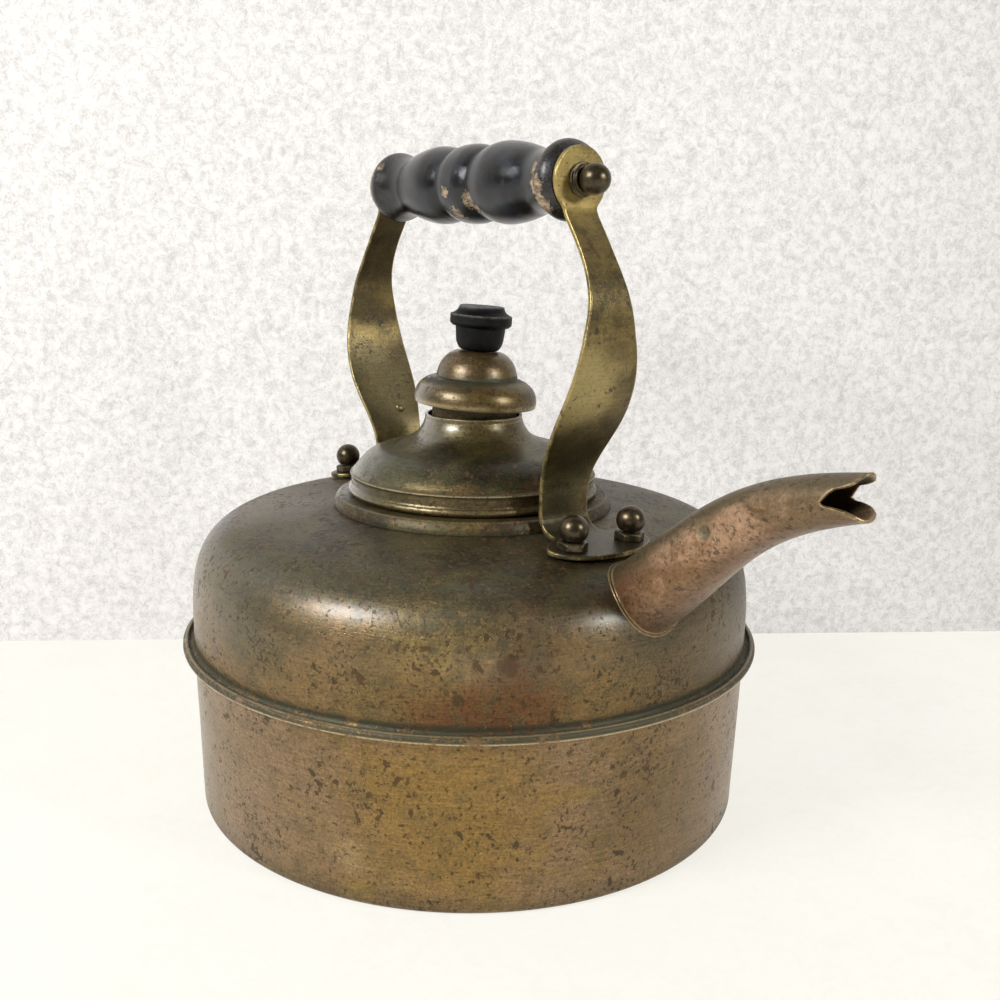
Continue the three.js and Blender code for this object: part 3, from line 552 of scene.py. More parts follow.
ringCopper = tarnishedCopper("ringCopper", {
    "dark": [(60, 70, 200, 210, 0.9)],
    "dirty": [(97, 102.4, 1)],
    "roughness": 0.38,
    "flecks": 0.58,
    "film": (0.05, 0.0),
    "glossy": [((-36, -46, 100), 34, 1.2)],
    "rubbedTone": tone(132, 116, 84),
    "relief": 0.14,
})
lidCopper = tarnishedCopper("lidCopper", {
    "brown": tone(96, 84, 48),
    "pink": tone(116, 92, 56),
    "gold": tone(112, 100, 54),
    "darkTone": tone(26, 28, 13),
    "greenTone": tone(68, 70, 40),
    "rubbedTone": tone(168, 150, 112),
    "dark": [(111.5, 116, 122, 128, 0.9), (60, 70, 200, 210, 0.45)],
    "ragged": 10,
    "film": (0.25, 0.0),
    "matt": [((30, 30, 112), 34, 0.8)],
    "glossy": [((-22, -50, 110), 34, 1.3), ((-4, -20, 130), 18, 1.6)],
    "dirty": [(111.5, 113.6, 0.6)],
    "flecks": 0.61,
    "blots": 0.65,
    "roughness": 0.3,
    "metallic": 0.7,
    # painted highlight: a paler gold wash on the lid's lower curve, front left
    "washes": [((24, -32, 116), 17, tone(140, 118, 74), 0.75)],
    "filmRoughness": 0.26,
    "relief": 0.14,
})
capCopper = tarnishedCopper("capCopper", {
    "brown": tone(100, 82, 48),
    "pink": tone(116, 90, 56),
    "rubbedTone": tone(176, 154, 112),
    "dark": [(60, 70, 200, 210, 0.45), (142, 144.5, 146, 149, 0.7)],
    "ragged": 6,
    "film": (0.3, 0.0),
    # painted shade: the washes darken the cap's right side
    "washes": [((18, 24, 145), 22, tone(66, 54, 34), 0.85), ((30, -6, 145), 12, tone(74, 60, 38), 0.7)],
    "matt": [((20, 24, 145), 24, 0.9)],
    "glossy": [((-10, -22, 146), 20, 1.3)],
    "dirty": [(143.6, 147, 1.2)],
    "flecks": 0.63,
    "blots": 0.66,
    "roughness": 0.31,
    "metallic": 0.7,
    "filmRoughness": 0.28,
    "relief": 0.1,
})
# painted shade with tarnish: the inside pieces are darkened all over, as the shaded neck and opening they sit
# in
innerCopper = tarnishedCopper("innerCopper", {"dark": [(0, 1, 200, 210, 0.85)], "roughness": 0.5})


# The spout's copper: pinker and rubbed brighter, olive brown along its upper side, darker underneath as painted
# shade, dull where it is soldered on, with painted shade in a dent and a painted highlight round the dent's rim
def rubbedCopper(name, look):
    finish = newFinish(name)
    spot = finish.places()
    x = finish.parts(spot)[0]
    patchy = finish.noise((40, -20, 15), 12, 5.0, 0.6, 0.6)
    cloudy = finish.noise((-12, 33, 80), 4.6, 6.0, 0.68)
    fine = finish.noise(spot, 0.9, 5.0, 0.72)
    drawn = finish.noise(finish.places(stretch=(0.2, 1.4, 0.7)), 0.9, 4.0, 0.6)
    crowd = finish.noise((4, 9, -6), 11, 4.0, 0.6)
    drifting = x + (patchy - 0.5) * 30
    upward = finish.painted("upward")
    upper = finish.between(upward + (patchy - 0.5) * 0.9 + (cloudy - 0.5) * 0.6, 0.1, 0.8)
    colour = finish.layered(
        look["pink"],
        (finish.between(patchy, 0.4, 0.6), look["brown"]),
        (finish.between(cloudy, 0.5, 0.66, 0, 0.6), look["orange"]),
        (finish.between(drifting, 86, 106, 0.85, 0.0), look["rootTone"]),
        (finish.between(drifting, 126, 150, 0.0, 0.75), look["endTone"]),
        # painted shade: darker on the spout's underside
        (finish.between(upward, -0.95, -0.45, 0.75, 0.0), look["underShadeTone"]),
        (upper * 0.85, look["olive"]),
    )
    colour = finish.shaded(colour, -0.35 + 1.9 * fine + 0.8 * drawn)
    pits = (finish.ruffled(spot, 2.2, 0.9), *look["pits"])
    pitted = finish.pitting(crowd, look["flecks"], look["blots"], pits)
    pitted = pitted * finish.between(fine, 0.3, 0.5, 0.5, 1.0)
    about = finish.ruffled(spot, 2.0, 0.3)
    # painted shade in the dent and a painted highlight round its rim
    dent = finish.patch(about, look["dent"], 2.7, 0.6)
    dentRimHighlight = finish.patch(about, look["dent"], 3.7, 0.3) * (1 - dent)
    soldered = finish.painted("soldered") * finish.between(fine + cloudy, 0.8, 1.05, 0.25, 1.0)
    lip = finish.painted("lip") * finish.between(fine + cloudy, 0.85, 1.1, 0.1, 0.9)
    colour = finish.layered(
        colour,
        (pitted, look["spotTone"]),
        (dentRimHighlight * 0.7, look["lipWearAndHighlightTone"]),
        (dent * 0.7, look["dentShadeTone"]),
        (soldered, look["solderTone"]),
        (lip, look["lipWearAndHighlightTone"]),
    )
    roughness = 0.34 + 0.28 * (fine - 0.5) + 0.14 * pitted + 0.1 * upper - 0.06 * soldered
    metallic = 0.6 - 0.2 * pitted - 0.1 * upper
    relief = 0.45 * fine + 0.3 * drawn - 0.5 * pitted
    return finish.surface(colour, roughness, metallic, relief, 0.14, IOR=1.6)


spoutCopper = rubbedCopper("spoutCopper", {
    "pink": tone(164, 132, 104),
    "brown": tone(128, 98, 68),
    "orange": tone(126, 82, 44),
    "rootTone": tone(96, 60, 26),
    "endTone": tone(106, 90, 64),
    "olive": tone(84, 74, 50),
    "underShadeTone": tone(112, 88, 66),
    "spotTone": tone(52, 36, 16),
    "dentShadeTone": tone(84, 84, 66),
    "solderTone": tone(150, 132, 96),
    "lipWearAndHighlightTone": tone(170, 146, 106),
    "dent": (118.1, -9.4, 117.7),
    "flecks": ((0, 0, 0), 1.4, 0.585, 0.6),
    "blots": ((9, 4, 2), 3.4, 0.635, 0.7),
    "pits": (3.0, 0.2, 0.7, 0.4, 0.8),
})


# Aged brass: olive gold, flecked darker, rubbed bright along the edges and about set heights, with washes
# of colour about set places, among them painted shade and painted highlights
def agedBrass(name, look):
    finish = newFinish(name)
    spot = finish.places()
    z = finish.parts(spot)[2]
    patchy = finish.noise((14, 52, -9), 16, 5.0, 0.6, 0.5)
    cloudy = finish.noise(spot, 4.6, 6.0, 0.66)
    fine = finish.noise(spot, 0.9, 5.0, 0.7)
    handled = finish.noise(finish.places(stretch=(1.0, 0.06, 1.0)), 0.7, 3.0, 0.6)
    crowd = finish.noise((2, -7, 5), 10, 4.0, 0.6)
    colour = finish.mixed(finish.between(patchy, 0.4, 0.64), look["olive"], look["gold"])
    colour = finish.mixed(finish.between(cloudy, 0.48, 0.66, 0, 0.7), colour, look["brown"])
    for low, high in look["goldAt"]:
        band = finish.within(z, low, (low + high) / 2, (low + high) / 2, high)
        colour = finish.mixed(band * finish.between(cloudy, 0.35, 0.55) * 0.75, colour, look["bright"])
    loose = finish.ruffled(spot, 9, 7)
    colour = finish.washed(colour, loose, look["washes"], 0.5)
    for low, high, most in look["dark"]:
        dark = finish.between(z + (cloudy - 0.5) * 14, low, high, most, 0)
        colour = finish.mixed(dark, colour, look["darkTone"])
    colour = finish.shaded(colour, 0.1 + 1.2 * fine + 0.6 * handled)
    pits = (finish.ruffled(spot, 2.0, 0.7), *look["pits"])
    pitted = finish.pitting(crowd, look["flecks"], look["blots"], pits)
    colour = finish.mixed(pitted, colour, look["spotTone"])
    worn = finish.painted("edge") * finish.between(cloudy + fine * 0.4, 0.62, 0.84, 0.05, 0.7)
    colour = finish.mixed(worn, colour, look["bright"])
    roughness = 0.36 + 0.3 * (fine - 0.5) + 0.14 * pitted - 0.08 * worn
    metallic = 0.68 - 0.25 * pitted
    relief = 0.45 * fine + 0.3 * handled - 0.5 * pitted
    return finish.surface(colour, roughness, metallic, relief, 0.12, IOR=1.6)


strapBrass = agedBrass("strapBrass", {
    "olive": tone(86, 74, 44),
    "gold": tone(128, 110, 64),
    "brown": tone(80, 64, 42),
    "bright": tone(176, 156, 102),
    "goldAt": [(198, 222), (112, 126)],
    "washes": [
        # painted shade: a dark wash low on the front strap stands for the dome's dark reflection there
        ((66, 0, 117), 27, tone(54, 48, 26), 0.85),
        # painted highlight: a pale wash on the middle of the front strap
        ((70, -8, 147), 19, tone(160, 142, 92), 0.85),
        # painted highlight: a pale wash on the middle of the rear strap
        ((-66, -4, 130), 26, tone(132, 120, 84), 0.75),
        ((-60, 0, 188), 26, tone(66, 54, 30), 0.6),
        ((57, -4, 209), 17, tone(170, 148, 84), 0.7),
    ],
    "dark": [(103.5, 109, 0.85)],
    "darkTone": tone(60, 55, 40),
    "spotTone": tone(36, 31, 18),
    "flecks": ((0, 0, 0), 1.3, 0.63, 0.6),
    "blots": ((3, 8, 2), 3.2, 0.665, 0.75),
    "pits": (2.8, 0.15, 0.6, 0.4, 0.8),
})


# Dark bronze of the nuts and collars: browned and nearly polished, duller where it is specked
def darkBronze(name, look):
    finish = newFinish(name)
    spot = finish.places()
    cloudy = finish.noise(spot, 3.0, 5.0, 0.6)
    fine = finish.noise(spot, 0.6, 4.0, 0.65)
    colour = finish.mixed(finish.between(cloudy, 0.42, 0.62), look["tone"], look["worn"])
    colour = finish.shaded(colour, 0.55 + 0.85 * fine)
    specks = finish.specks(finish.ruffled(spot, 1.5, 0.4), 1.8, 0.12, 0.4, 0.45)
    colour = finish.mixed(specks * 0.7, colour, look["speck"])
    roughness = look["roughness"] + 0.2 * (cloudy - 0.5) + 0.16 * (fine - 0.5) + 0.15 * specks
    return finish.surface(colour, roughness, 0.85 - 0.3 * specks, 0.5 * fine - 0.4 * specks, 0.03, IOR=1.8)


bronzeLook = {"tone": tone(66, 57, 42), "worn": tone(90, 78, 56), "speck": tone(36, 31, 20), "roughness": 0.33}
nutLook = {"tone": tone(66, 60, 46), "worn": tone(104, 92, 66), "roughness": 0.38}
ballBronze = darkBronze("ballBronze", bronzeLook)
nutBronze = darkBronze("nutBronze", bronzeLook | nutLook)


# Dull steel of the screw, bolts, spacer and rod
def dullSteel(name, look):
    finish = newFinish(name)
    spot = finish.places()
    cloudy = finish.noise(spot, 4, 5.0, 0.6)
    fine = finish.noise(spot, 0.8, 4.0, 0.6)
    colour = finish.mixed(finish.between(cloudy, 0.45, 0.65), look["grey"], look["brown"])
    colour = finish.shaded(colour, 0.6 + 0.8 * fine)
    return finish.surface(colour, 0.42 + 0.2 * (cloudy - 0.5), 0.95 - 0.2 * cloudy, fine, 0.03)


plainSteel = dullSteel("plainSteel", {"grey": tone(122, 119, 112), "brown": tone(96, 82, 66)})


# Black paint on turned wood: glossy, with a bluish grey bloom, crazed and chipped to pale wood at set places
# and rubbed brown towards its ends
def paintedWood(name, look):
    finish = newFinish(name)
    spot = finish.places((0, 0, look["axis"]))
    x = finish.parts(spot)[0]
    cloudy = finish.noise(spot, 6, 5.0, 0.62)
    fine = finish.noise(spot, 0.7, 5.0, 0.7)
    crazed = finish.noise(finish.places((3, 0, 0), (0.4, 1, 1)), 1.5, 6.0, 0.72, 0.6)
    colour = finish.mixed(finish.between(cloudy, 0.42, 0.64), look["black"], look["bloom"])
    ends = finish.between(x.math("ABSOLUTE") + (cloudy - 0.5) * 12, look["browned"][0], look["browned"][1])
    colour = finish.mixed(ends * finish.between(crazed, 0.42, 0.58, 0.15, 0.85), colour, look["brown"])
    colour = finish.shaded(colour, 0.55 + 0.9 * fine)
    ragged = finish.ruffled(spot, 1.1, 0.9)
    flaky = finish.noise((8, 1, 2), 1.3, 5.0, 0.7, 0.4)
    near = finish.patches(ragged, look["chips"], 0.1)
    chipped = finish.between(0.55 * near + 0.8 * flaky, 0.62, 0.66)
    flecks = finish.specks(ragged, 5.0, 0.12, 0.6, 0.35) * 0.7
    wood = finish.mixed(finish.between(crazed, 0.42, 0.58), look["wood"], look["darkWood"])
    colour = finish.mixed(chipped * 0.85, colour, wood)
    colour = finish.mixed(flecks * (1 - chipped), colour, look["fleck"])
    roughness = look["roughness"] + 0.26 * (fine - 0.5) + 0.4 * chipped + 0.16 * (cloudy - 0.4) + 0.12 * ends
    relief = 0.35 * fine + 0.45 * crazed + 0.25 * cloudy - 0.7 * larger(chipped, flecks)
    return finish.surface(colour, roughness, 0.0, relief, look["relief"], IOR=1.52)


gripPaint = paintedWood("gripPaint", {
    "axis": 209.2,
    "black": tone(10, 10, 11),
    "bloom": tone(32, 37, 43),
    "brown": tone(46, 40, 35),
    "browned": (36, 50),
    "wood": tone(172, 154, 126),
    "darkWood": tone(96, 76, 54),
    "fleck": tone(120, 106, 88),
    "roughness": 0.14,
    "relief": 0.2,
    "chips": [
        ((-49.5, -9, 3), 5.5, 0.8),
        ((-46, -10, 7), 4, 0.6),
        ((-1, -12.5, -3), 4, 0.65),
        ((1, -8.5, -9.5), 5, 0.7),
        ((9.5, -10, -6), 6.5, 0.7),
        ((13, -9, -8.5), 5.5, 0.55),
        ((43.5, -10.5, 3.5), 4.5, 0.7),
        ((45.5, -10.5, -2), 6, 0.95),
        ((46.5, -9, -7), 6, 0.9),
        ((44, -7, 9), 5, 0.6),
        ((20, 9, 8), 6, 0.6),
        ((-30, 6, -9), 6, 0.6),
        ((46, 7, 6), 6, 0.8),
        ((-47, 8, -5), 6, 0.75),
    ],
})


# Matt black of the knob, greyer on top where it is handled, with a thin worn line along its edges
def mattBlack(name, look):
    finish = newFinish(name)
    spot = finish.places()
    z = finish.parts(spot)[2]
    cloudy = finish.noise(spot, 4.5, 5.0, 0.6)
    fine = finish.noise(spot, 0.7, 4.0, 0.7)
    scuffed = finish.noise(finish.places(stretch=(0.3, 0.3, 2.4)), 0.8, 3.0, 0.6)
    colour = finish.mixed(finish.between(cloudy, 0.4, 0.64), look["black"], look["grey"])
    handled = finish.between(z, look["top"], look["top"] + 1) * finish.between(cloudy, 0.35, 0.55)
    colour = finish.mixed(handled * 0.8, colour, look["handled"])
    worn = finish.painted("rubbed") * finish.between(fine, 0.38, 0.56, 0.15, 0.8)
    colour = finish.shaded(finish.mixed(worn, colour, look["worn"]), 0.6 + 0.8 * fine)
    specks = finish.specks(finish.ruffled(spot, 1.5, 0.5), 3, 0.1, 0.4, 0.35)
    colour = finish.mixed(specks * 0.5, colour, look["speck"])
    relief = 0.4 * fine + 0.4 * scuffed
    return finish.surface(colour, 0.5 + 0.2 * (cloudy - 0.5), 0.0, relief, 0.05, Specular_IOR_Level=0.14)


knobBlack = mattBlack("knobBlack", {
    "black": tone(9, 9, 9),
    "grey": tone(20, 20, 19),
    "handled": tone(84, 83, 80),
    "worn": tone(104, 102, 98),
    "speck": tone(112, 107, 98),
    "top": 168.6,
})
print("kettle: finishes made")


panLook = {
    "sheet": 1.0,
    "footRadius": 94.8,
    "wallRadius": 96.2,
    "footRounding": 2.2,
    "seamHeight": 55.0,
    "seamProjection": 3.8,
    "seamFillet": 1.8,
    "lipGap": 0.1,
    "hookRise": 2.05,  # in sheets
    "soft": 0.25,
    "base": (20, 60, 84),
    "sides": 288,
    "uneven": 0.05,
    "seed": 11,
    "calm": {"foot": (1, 12), "seam": (53, 40), "base": (85, 92)},  # from even to uneven
    "rubbedAt": [((99.9, 55.8), 0.32, 1.0), ((99.0, 57.9), 0.25, 0.5)],
}
sheet = panLook["sheet"]
wallRadius = panLook["wallRadius"]
seamHeight = panLook["seamHeight"]
seamRadius = wallRadius + panLook["seamProjection"]
filletRadius = wallRadius + panLook["seamFillet"]
seamTop = seamHeight + 3 * sheet


# Where a profile is worn: each corner moved by its offset, with the reach and strength of the wear there
def wornAt(corners, worn):
    return [(np.add(corner, offset), reach, most) for corner, (offset, reach, most) in zip(corners, worn)]


# How rubbed each point of a profile is: the sum of most times exp(-(distance over reach)^2) about set points
def rubbedAt(profile, places):
    total = 0
    for place, reach, most in places:
        total = total + most * np.exp(-(((profile - place) / reach) ** 2).sum(1))
    return np.clip(total, 0, 1)[:, None]


# The pan's wall is closed over itself: out from the middle of the base, up to the rolled seam and back inside.
# Its rings are moved out and in by the unevenness, which fades to nothing at the seam and the foot.
def makePan():
    look = panLook
    foot = (look["footRadius"] - look["footRounding"], look["footRounding"])
    fillet = (filletRadius, seamHeight - look["seamFillet"])
    roll = (seamRadius - 1.5 * sheet, seamHeight + 1.5 * sheet)
    wall = np.linspace((look["footRadius"], look["footRounding"]), (wallRadius, fillet[1]), 26)[1:-1]
    innerWall = (wall - (sheet, 0))[::-1]
    lip, hook = filletRadius + look["lipGap"], seamHeight + look["hookRise"] * sheet
    path = np.vstack([
        [(radius, 0) for radius in look["base"]],
        arcPoints(foot, look["footRounding"], -90, 0),
        wall,
        arcPoints(fillet, look["seamFillet"], 180, 90, 7),
        arcPoints(roll, 1.5 * sheet, -90, 90, 15),
        [(lip, seamTop), (lip, hook), (seamRadius - sheet, hook), (seamRadius - sheet, seamHeight + sheet)],
        arcPoints(fillet, look["seamFillet"] + sheet, 90, 180, 7),
        innerWall,
        arcPoints(foot, look["footRounding"] - sheet, 0, -90, 5),
        [(radius, sheet) for radius in look["base"][::-1]],
    ])
    profile = softened(path, look["soft"])
    angle, calm = roundAngles(look["sides"]), look["calm"]
    radius, height = profile[:, :1], profile[:, 1:]
    fade = eased(height, *calm["foot"]) * eased(height, *calm["seam"]) * eased(radius, *calm["base"])
    swell = unevenness(angle, height, look["seed"], look["uneven"]) * fade
    rings = turnedRings(profile, look["sides"]) + roundAxis(swell, angle, 0)
    values = {"rubbed": rubbedAt(profile, look["rubbedAt"])}
    surfacePiece("pan", rings, panCopper, "kettle", "body_pan", values=values)


domeLook = {
    "wallHeight": 8.2,
    "shoulderWidth": 30.0,
    "shoulderHeight": 33.1,
    "risePull": 24.0,
    "inwardPull": 24.0,
    "topSlope": 0.08,
    "mouthRadius": 42.4,
    "lipGap": 0.1,
    "soft": 0.25,
    "sides": 288,
    "uneven": 0.06,
    "waves": 0.8,
    "seeds": (23, 31),
    "calm": {"seam": (60, 68), "mouth": (50, 66), "side": (80, 98)},
}
shoulderStart = seamHeight + 2 * sheet + panLook["seamFillet"] + domeLook["wallHeight"]
shoulderEnd = (wallRadius - domeLook["shoulderWidth"], shoulderStart + domeLook["shoulderHeight"])


# The dome's outer line: its flange in the seam, a short wall, the shoulder's Bezier and a straight slope to the
# mouth
def domeLine():
    look = domeLook
    flange = seamHeight + 2 * sheet
    slope = look["topSlope"]
    end = np.array(shoulderEnd)
    shoulder = bezierPoints(
        (wallRadius, shoulderStart),
        (wallRadius, shoulderStart + look["risePull"]),
        end + (look["inwardPull"], -look["inwardPull"] * slope),
        end,
        56,
    )
    mouth = (look["mouthRadius"], end[1] + (end[0] - look["mouthRadius"]) * slope)
    fillet = (filletRadius, flange + panLook["seamFillet"])
    return np.vstack([
        [(seamRadius - sheet - look["lipGap"], flange)],
        arcPoints(fillet, panLook["seamFillet"], 270, 180, 8),
        np.linspace((wallRadius, fillet[1]), (wallRadius, shoulderStart), 6)[1:-1],
        shoulder,
        np.linspace(end, mouth, 14)[1:],
    ])


domePath = domeLine()


# Signed distance of points to the dome's outer line turned round the axis, positive outside
def aboveDome(points):
    place = np.stack([np.hypot(points[..., 0], points[..., 1]), points[..., 2]], -1)[..., None, :]
    start, end = domePath[:-1], domePath[1:]
    span = end - start
    share = np.clip(((place - start) * span).sum(-1) / (span * span).sum(-1), 0, 1)
    offset = place - (start + share[..., None] * span)
    distance = np.hypot(offset[..., 0], offset[..., 1])
    nearest = distance.argmin(-1)[..., None]
    side = np.take_along_axis(span[:, 0] * offset[..., 1] - span[:, 1] * offset[..., 0], nearest, -1)
    return -np.sign(side[..., 0]) * np.take_along_axis(distance, nearest, -1)[..., 0]


# The dome's line given its thickness and turned; the shoulder and top move by the unevenness.
# The spout's bore and the stud holes are then cut out of it.
def makeDome():
    look = domeLook
    profile = softened(sheetLoop(domePath, sheet), look["soft"], closed=True)
    angle, calm = roundAngles(look["sides"]), look["calm"]
    radius, height = profile[:, :1], profile[:, 1:]
    fade = eased(height, *calm["seam"]) * eased(radius, *calm["mouth"])
    swell = unevenness(angle, height, look["seeds"][0], look["uneven"]) * fade
    waves = look["waves"] * unevenness(angle, radius, look["seeds"][1], look["uneven"]) * fade
    waves = waves * eased(height, *calm["side"])
    rings = turnedRings(profile, look["sides"]) + roundAxis(swell, angle, waves)
    dome = surfacePiece("dome", rings, domeCopper, "kettle", "body_dome", True)
    cutters = [boreCutter(), *[studCutter(end, hand) for end, hand in studSides]]
    for cutter in cutters:
        cut = dome.modifiers.new("hole", "BOOLEAN")
        cut.object = cutter
        cut.operation = "DIFFERENCE"
        cut.solver = "EXACT"
    bpy.context.view_layer.update()
    opened = bpy.data.meshes.new_from_object(dome.evaluated_get(bpy.context.evaluated_depsgraph_get()))
    dome.modifiers.clear()
    dome.data = opened
    opened.name = "dome"
    for cutter in cutters:
        bpy.data.objects.remove(cutter)


spoutLook = {
    "rootDepth": 43.2,
    "rootRise": 10.0,
    "length": 107.6,
    "rise": 66.2,
    "pulls": ((0.568, 0.505), (0.501, 0.82)),
    "radii": (12.65, 11.35, 6.0),
    "wall": 0.9,
    "lip": 1.4,
    "beakDepth": 9.4,
    "upperHeights": (0, 0.367, 0.53, 0.548, 0.667, 1.1),
    "upperSets": (-1, -0.734, -0.564, -0.33, -0.074, 0.2),
    "lowerHeights": (-1.1, -0.733, -0.467, -0.267, -0.158, 0),
    "lowerSets": (0, -0.138, -0.34, -0.638, -0.894, -1),
    "rim": ((1.0, -0.1), (0.97, 0.2), (0.8, 0.46), (0.55, 0.42), (0.36, 0.2), (0.16, 0.16), (0.04, 0.34),
            (0.0, 0.8)),
    "edge": 0.28,
    "innerOver": -0.15,
    "boreReach": 0.6,
    "inwards": -40,
    "brightRows": (0, 1, 5, 6),
    "lipReach": 0.5,
    "dents": (((118.1, -9.4, 117.7), 2.3, 0.8), ((124.5, 6.5, 126.5), 3.0, 0.3), ((97, -11.5, 101), 7.0, 0.3),
              ((136.5, -6.5, 128.5), 1.8, 0.35)),
    "sides": 144,
    "rows": 150,
}


# The spout's middle line by length travelled: centre, direction and radius at each of many places,
# carried straight on past its end by the lip
def spoutTrack():
    look = spoutLook
    root = np.array((wallRadius - look["rootDepth"], seamTop + look["rootRise"]))
    reach = np.array((look["length"], look["rise"]))
    low, high = (root + reach * pull for pull in look["pulls"])
    t = np.linspace(0, 1, 500)
    centre = bezierPoints(root, low, high, root + reach, 500)
    ends = (root + reach - high) / np.hypot(*(root + reach - high))
    first, middle, last = look["radii"]
    radius = (1 - t) ** 2 * first + 2 * t * (1 - t) * middle + t * t * last
    centre = np.vstack([centre, root + reach + ends * look["lip"] * 2])
    radius = np.append(radius, last)
    travelled = lengthAlong(centre)
    return travelled, centre, directions(centre, travelled), radius, travelled[-2]


trackLength, trackCentre, trackAlong, trackRadius, mouthAt = spoutTrack()


# Points on the spout: centre plus radius times (sine of the angle times the upward normal plus cosine times Y)
def onSpout(length, angle, extra=0.0):
    centre = np.stack([np.interp(length, trackLength, trackCentre[:, k]) for k in range(2)], -1)
    along = np.stack([np.interp(length, trackLength, trackAlong[:, k]) for k in range(2)], -1)
    radius = np.interp(length, trackLength, trackRadius) + extra
    up = radius * np.sin(angle)
    return np.stack(
        [centre[..., 0] - up * along[..., 1], radius * np.cos(angle), centre[..., 1] + up * along[..., 0]], -1
    )


# How far along the spout a bar thicker by 'extra' comes out of the dome to a height over it, for each angle
def leavesDome(angle, extra, over):
    length = np.linspace(0, mouthAt, 420)[:, None]
    clear = aboveDome(onSpout(length, angle[None, :], extra)) - over
    row = (clear > 0).argmax(0)
    column = np.arange(len(angle))
    low, high = clear[row - 1, column], clear[row, column]
    share = -low / (high - low)
    return length[row - 1, 0] + share * (length[row, 0] - length[row - 1, 0])


# How far along the spout its notched mouth ends, for each angle: the mouth's length moved back by the beak's
# side outline at that height
def beakEnd(angle):
    look = spoutLook
    heights = look["lowerHeights"] + look["upperHeights"][1:]
    sets = look["lowerSets"] + look["upperSets"][1:]
    end = np.full(angle.shape, mouthAt)
    for _ in range(4):
        share = np.interp(end, trackLength, trackRadius) * np.sin(angle) / look["radii"][2]
        end = mouthAt + look["beakDepth"] * np.interp(share, heights, sets)
    return end


# Outside from the soldered rim on the dome to the mouth, over the rounded edge, and back inside to the root.
# Each dent moves the wall in by depth times exp(-(distance over radius)^2).
def makeSpout():
    look = spoutLook
    angle = roundAngles(look["sides"])
    rimRows = [onSpout(leavesDome(angle, extra, over), angle, extra) for extra, over in look["rim"]]
    start, end = leavesDome(angle, *look["rim"][-1]), beakEnd(angle)
    share = np.linspace(0, 1, look["rows"])[1:, None]
    outside = start + share * (end - start)
    turn = np.linspace(0, np.pi, 9)[1:-1, None]
    over = end + look["edge"] * np.sin(turn)
    thinning = -look["wall"] * (1 - np.cos(turn)) / 2
    innerStart = leavesDome(angle, -look["wall"], look["innerOver"])
    inside = end + np.linspace(0, 1, look["rows"] // 2)[:, None] * (innerStart - end)
    rings = np.concatenate([
        rimRows,
        onSpout(outside, angle),
        onSpout(over, angle, thinning),
        onSpout(inside, angle, -look["wall"]),
    ])
    lengths = np.concatenate([np.tile(start, (len(rimRows), 1)), outside, over, inside])
    inwards = onSpout(lengths, angle, look["inwards"]) - rings
    inwards /= np.linalg.norm(inwards, axis=-1, keepdims=True)
    for place, radius, depth in look["dents"]:
        away = np.linalg.norm(rings - place, axis=-1)
        rings = rings + inwards * (depth * np.exp(-((away / radius) ** 2)) * (away < 4 * radius))[..., None]
    row = np.arange(len(rings))[:, None] + 0 * angle
    values = {
        "soldered": np.isin(row, look["brightRows"]) * 1.0,
        "upward": np.sin(angle) + 0 * row,
        "lip": np.exp(-(((lengths - end) / look["lipReach"]) ** 2)) * (row >= len(rimRows)),
    }
    surfacePiece("spout", rings, spoutCopper, "kettle", "spout", True, values)


# A solid bar through the dome where the spout's bore runs, used to cut it
def boreCutter():
    length = np.linspace(0, mouthAt * spoutLook["boreReach"], 40)[:, None]
    return cutterFrom("bore", onSpout(length, roundAngles(96)[None, :], -spoutLook["wall"]))


def cutterFrom(name, rings):
    cutter = ringMesh(name, rings)
    cutter.hide_render = True
    return cutter


# A profile with further points on its long spans, none of them longer than a given length
def finelyCut(profile, longest):
    run = lengthAlong(profile)
    at = np.union1d(run, np.arange(0, run[-1], longest))
    return np.column_stack([np.interp(at, run, profile[:, k]) for k in range(2)])


# The closed profile of a short tube
def tubePath(inner, outer, low, high):
    return [(inner, low), (outer, low), (outer, high), (inner, high)]


# The profile of a pin with a head at its foot, from the small circle in its end round to the one on top
def pinPath(core, head, radius, top):
    wide, bottom, under = head
    return [(core, bottom), (wide, bottom), (wide, under), (radius, under), (radius, top), (core, top)]


# A turned piece: its profile softened, turned and put in place. 'rubbed' lists what is worn bright
def turnedPiece(name, path, material, body, node, closed=False, matrix=None, sides=72, soft=0.2, rubbed=()):
    profile = softened(path, soft, closed)
    if rubbed:
        profile = finelyCut(profile, 0.4)
    rings = turnedRings(profile, sides)
    if matrix is not None:
        rings = placed(rings, matrix)
    values = {"rubbed": rubbedAt(profile, rubbed)} if rubbed else None
    return surfacePiece(name, rings, material, body, node, closed, values)


ringLook = {
    "radius": 48.2,
    "rounding": 2.1,
    "lift": 0.1,
    "rise": 4.1,
    "bore": 41.3,
    "sleeve": 1.0,
    "depth": 7.1,
    "shares": ((1, 0), (0.98, 0.14), (0.87, 0.4), (0.54, 0.76), (0.25, 0.93), (0, 1)),
    "worn": (((0.5, -0.25), 0.35, 0.45), ((0.2, 0), 0.4, 0.3)),
}
seatFoot = shoulderEnd[1] + (shoulderEnd[0] - ringLook["radius"]) * domeLook["topSlope"] + ringLook["lift"]
seatTop = seatFoot + ringLook["rise"]


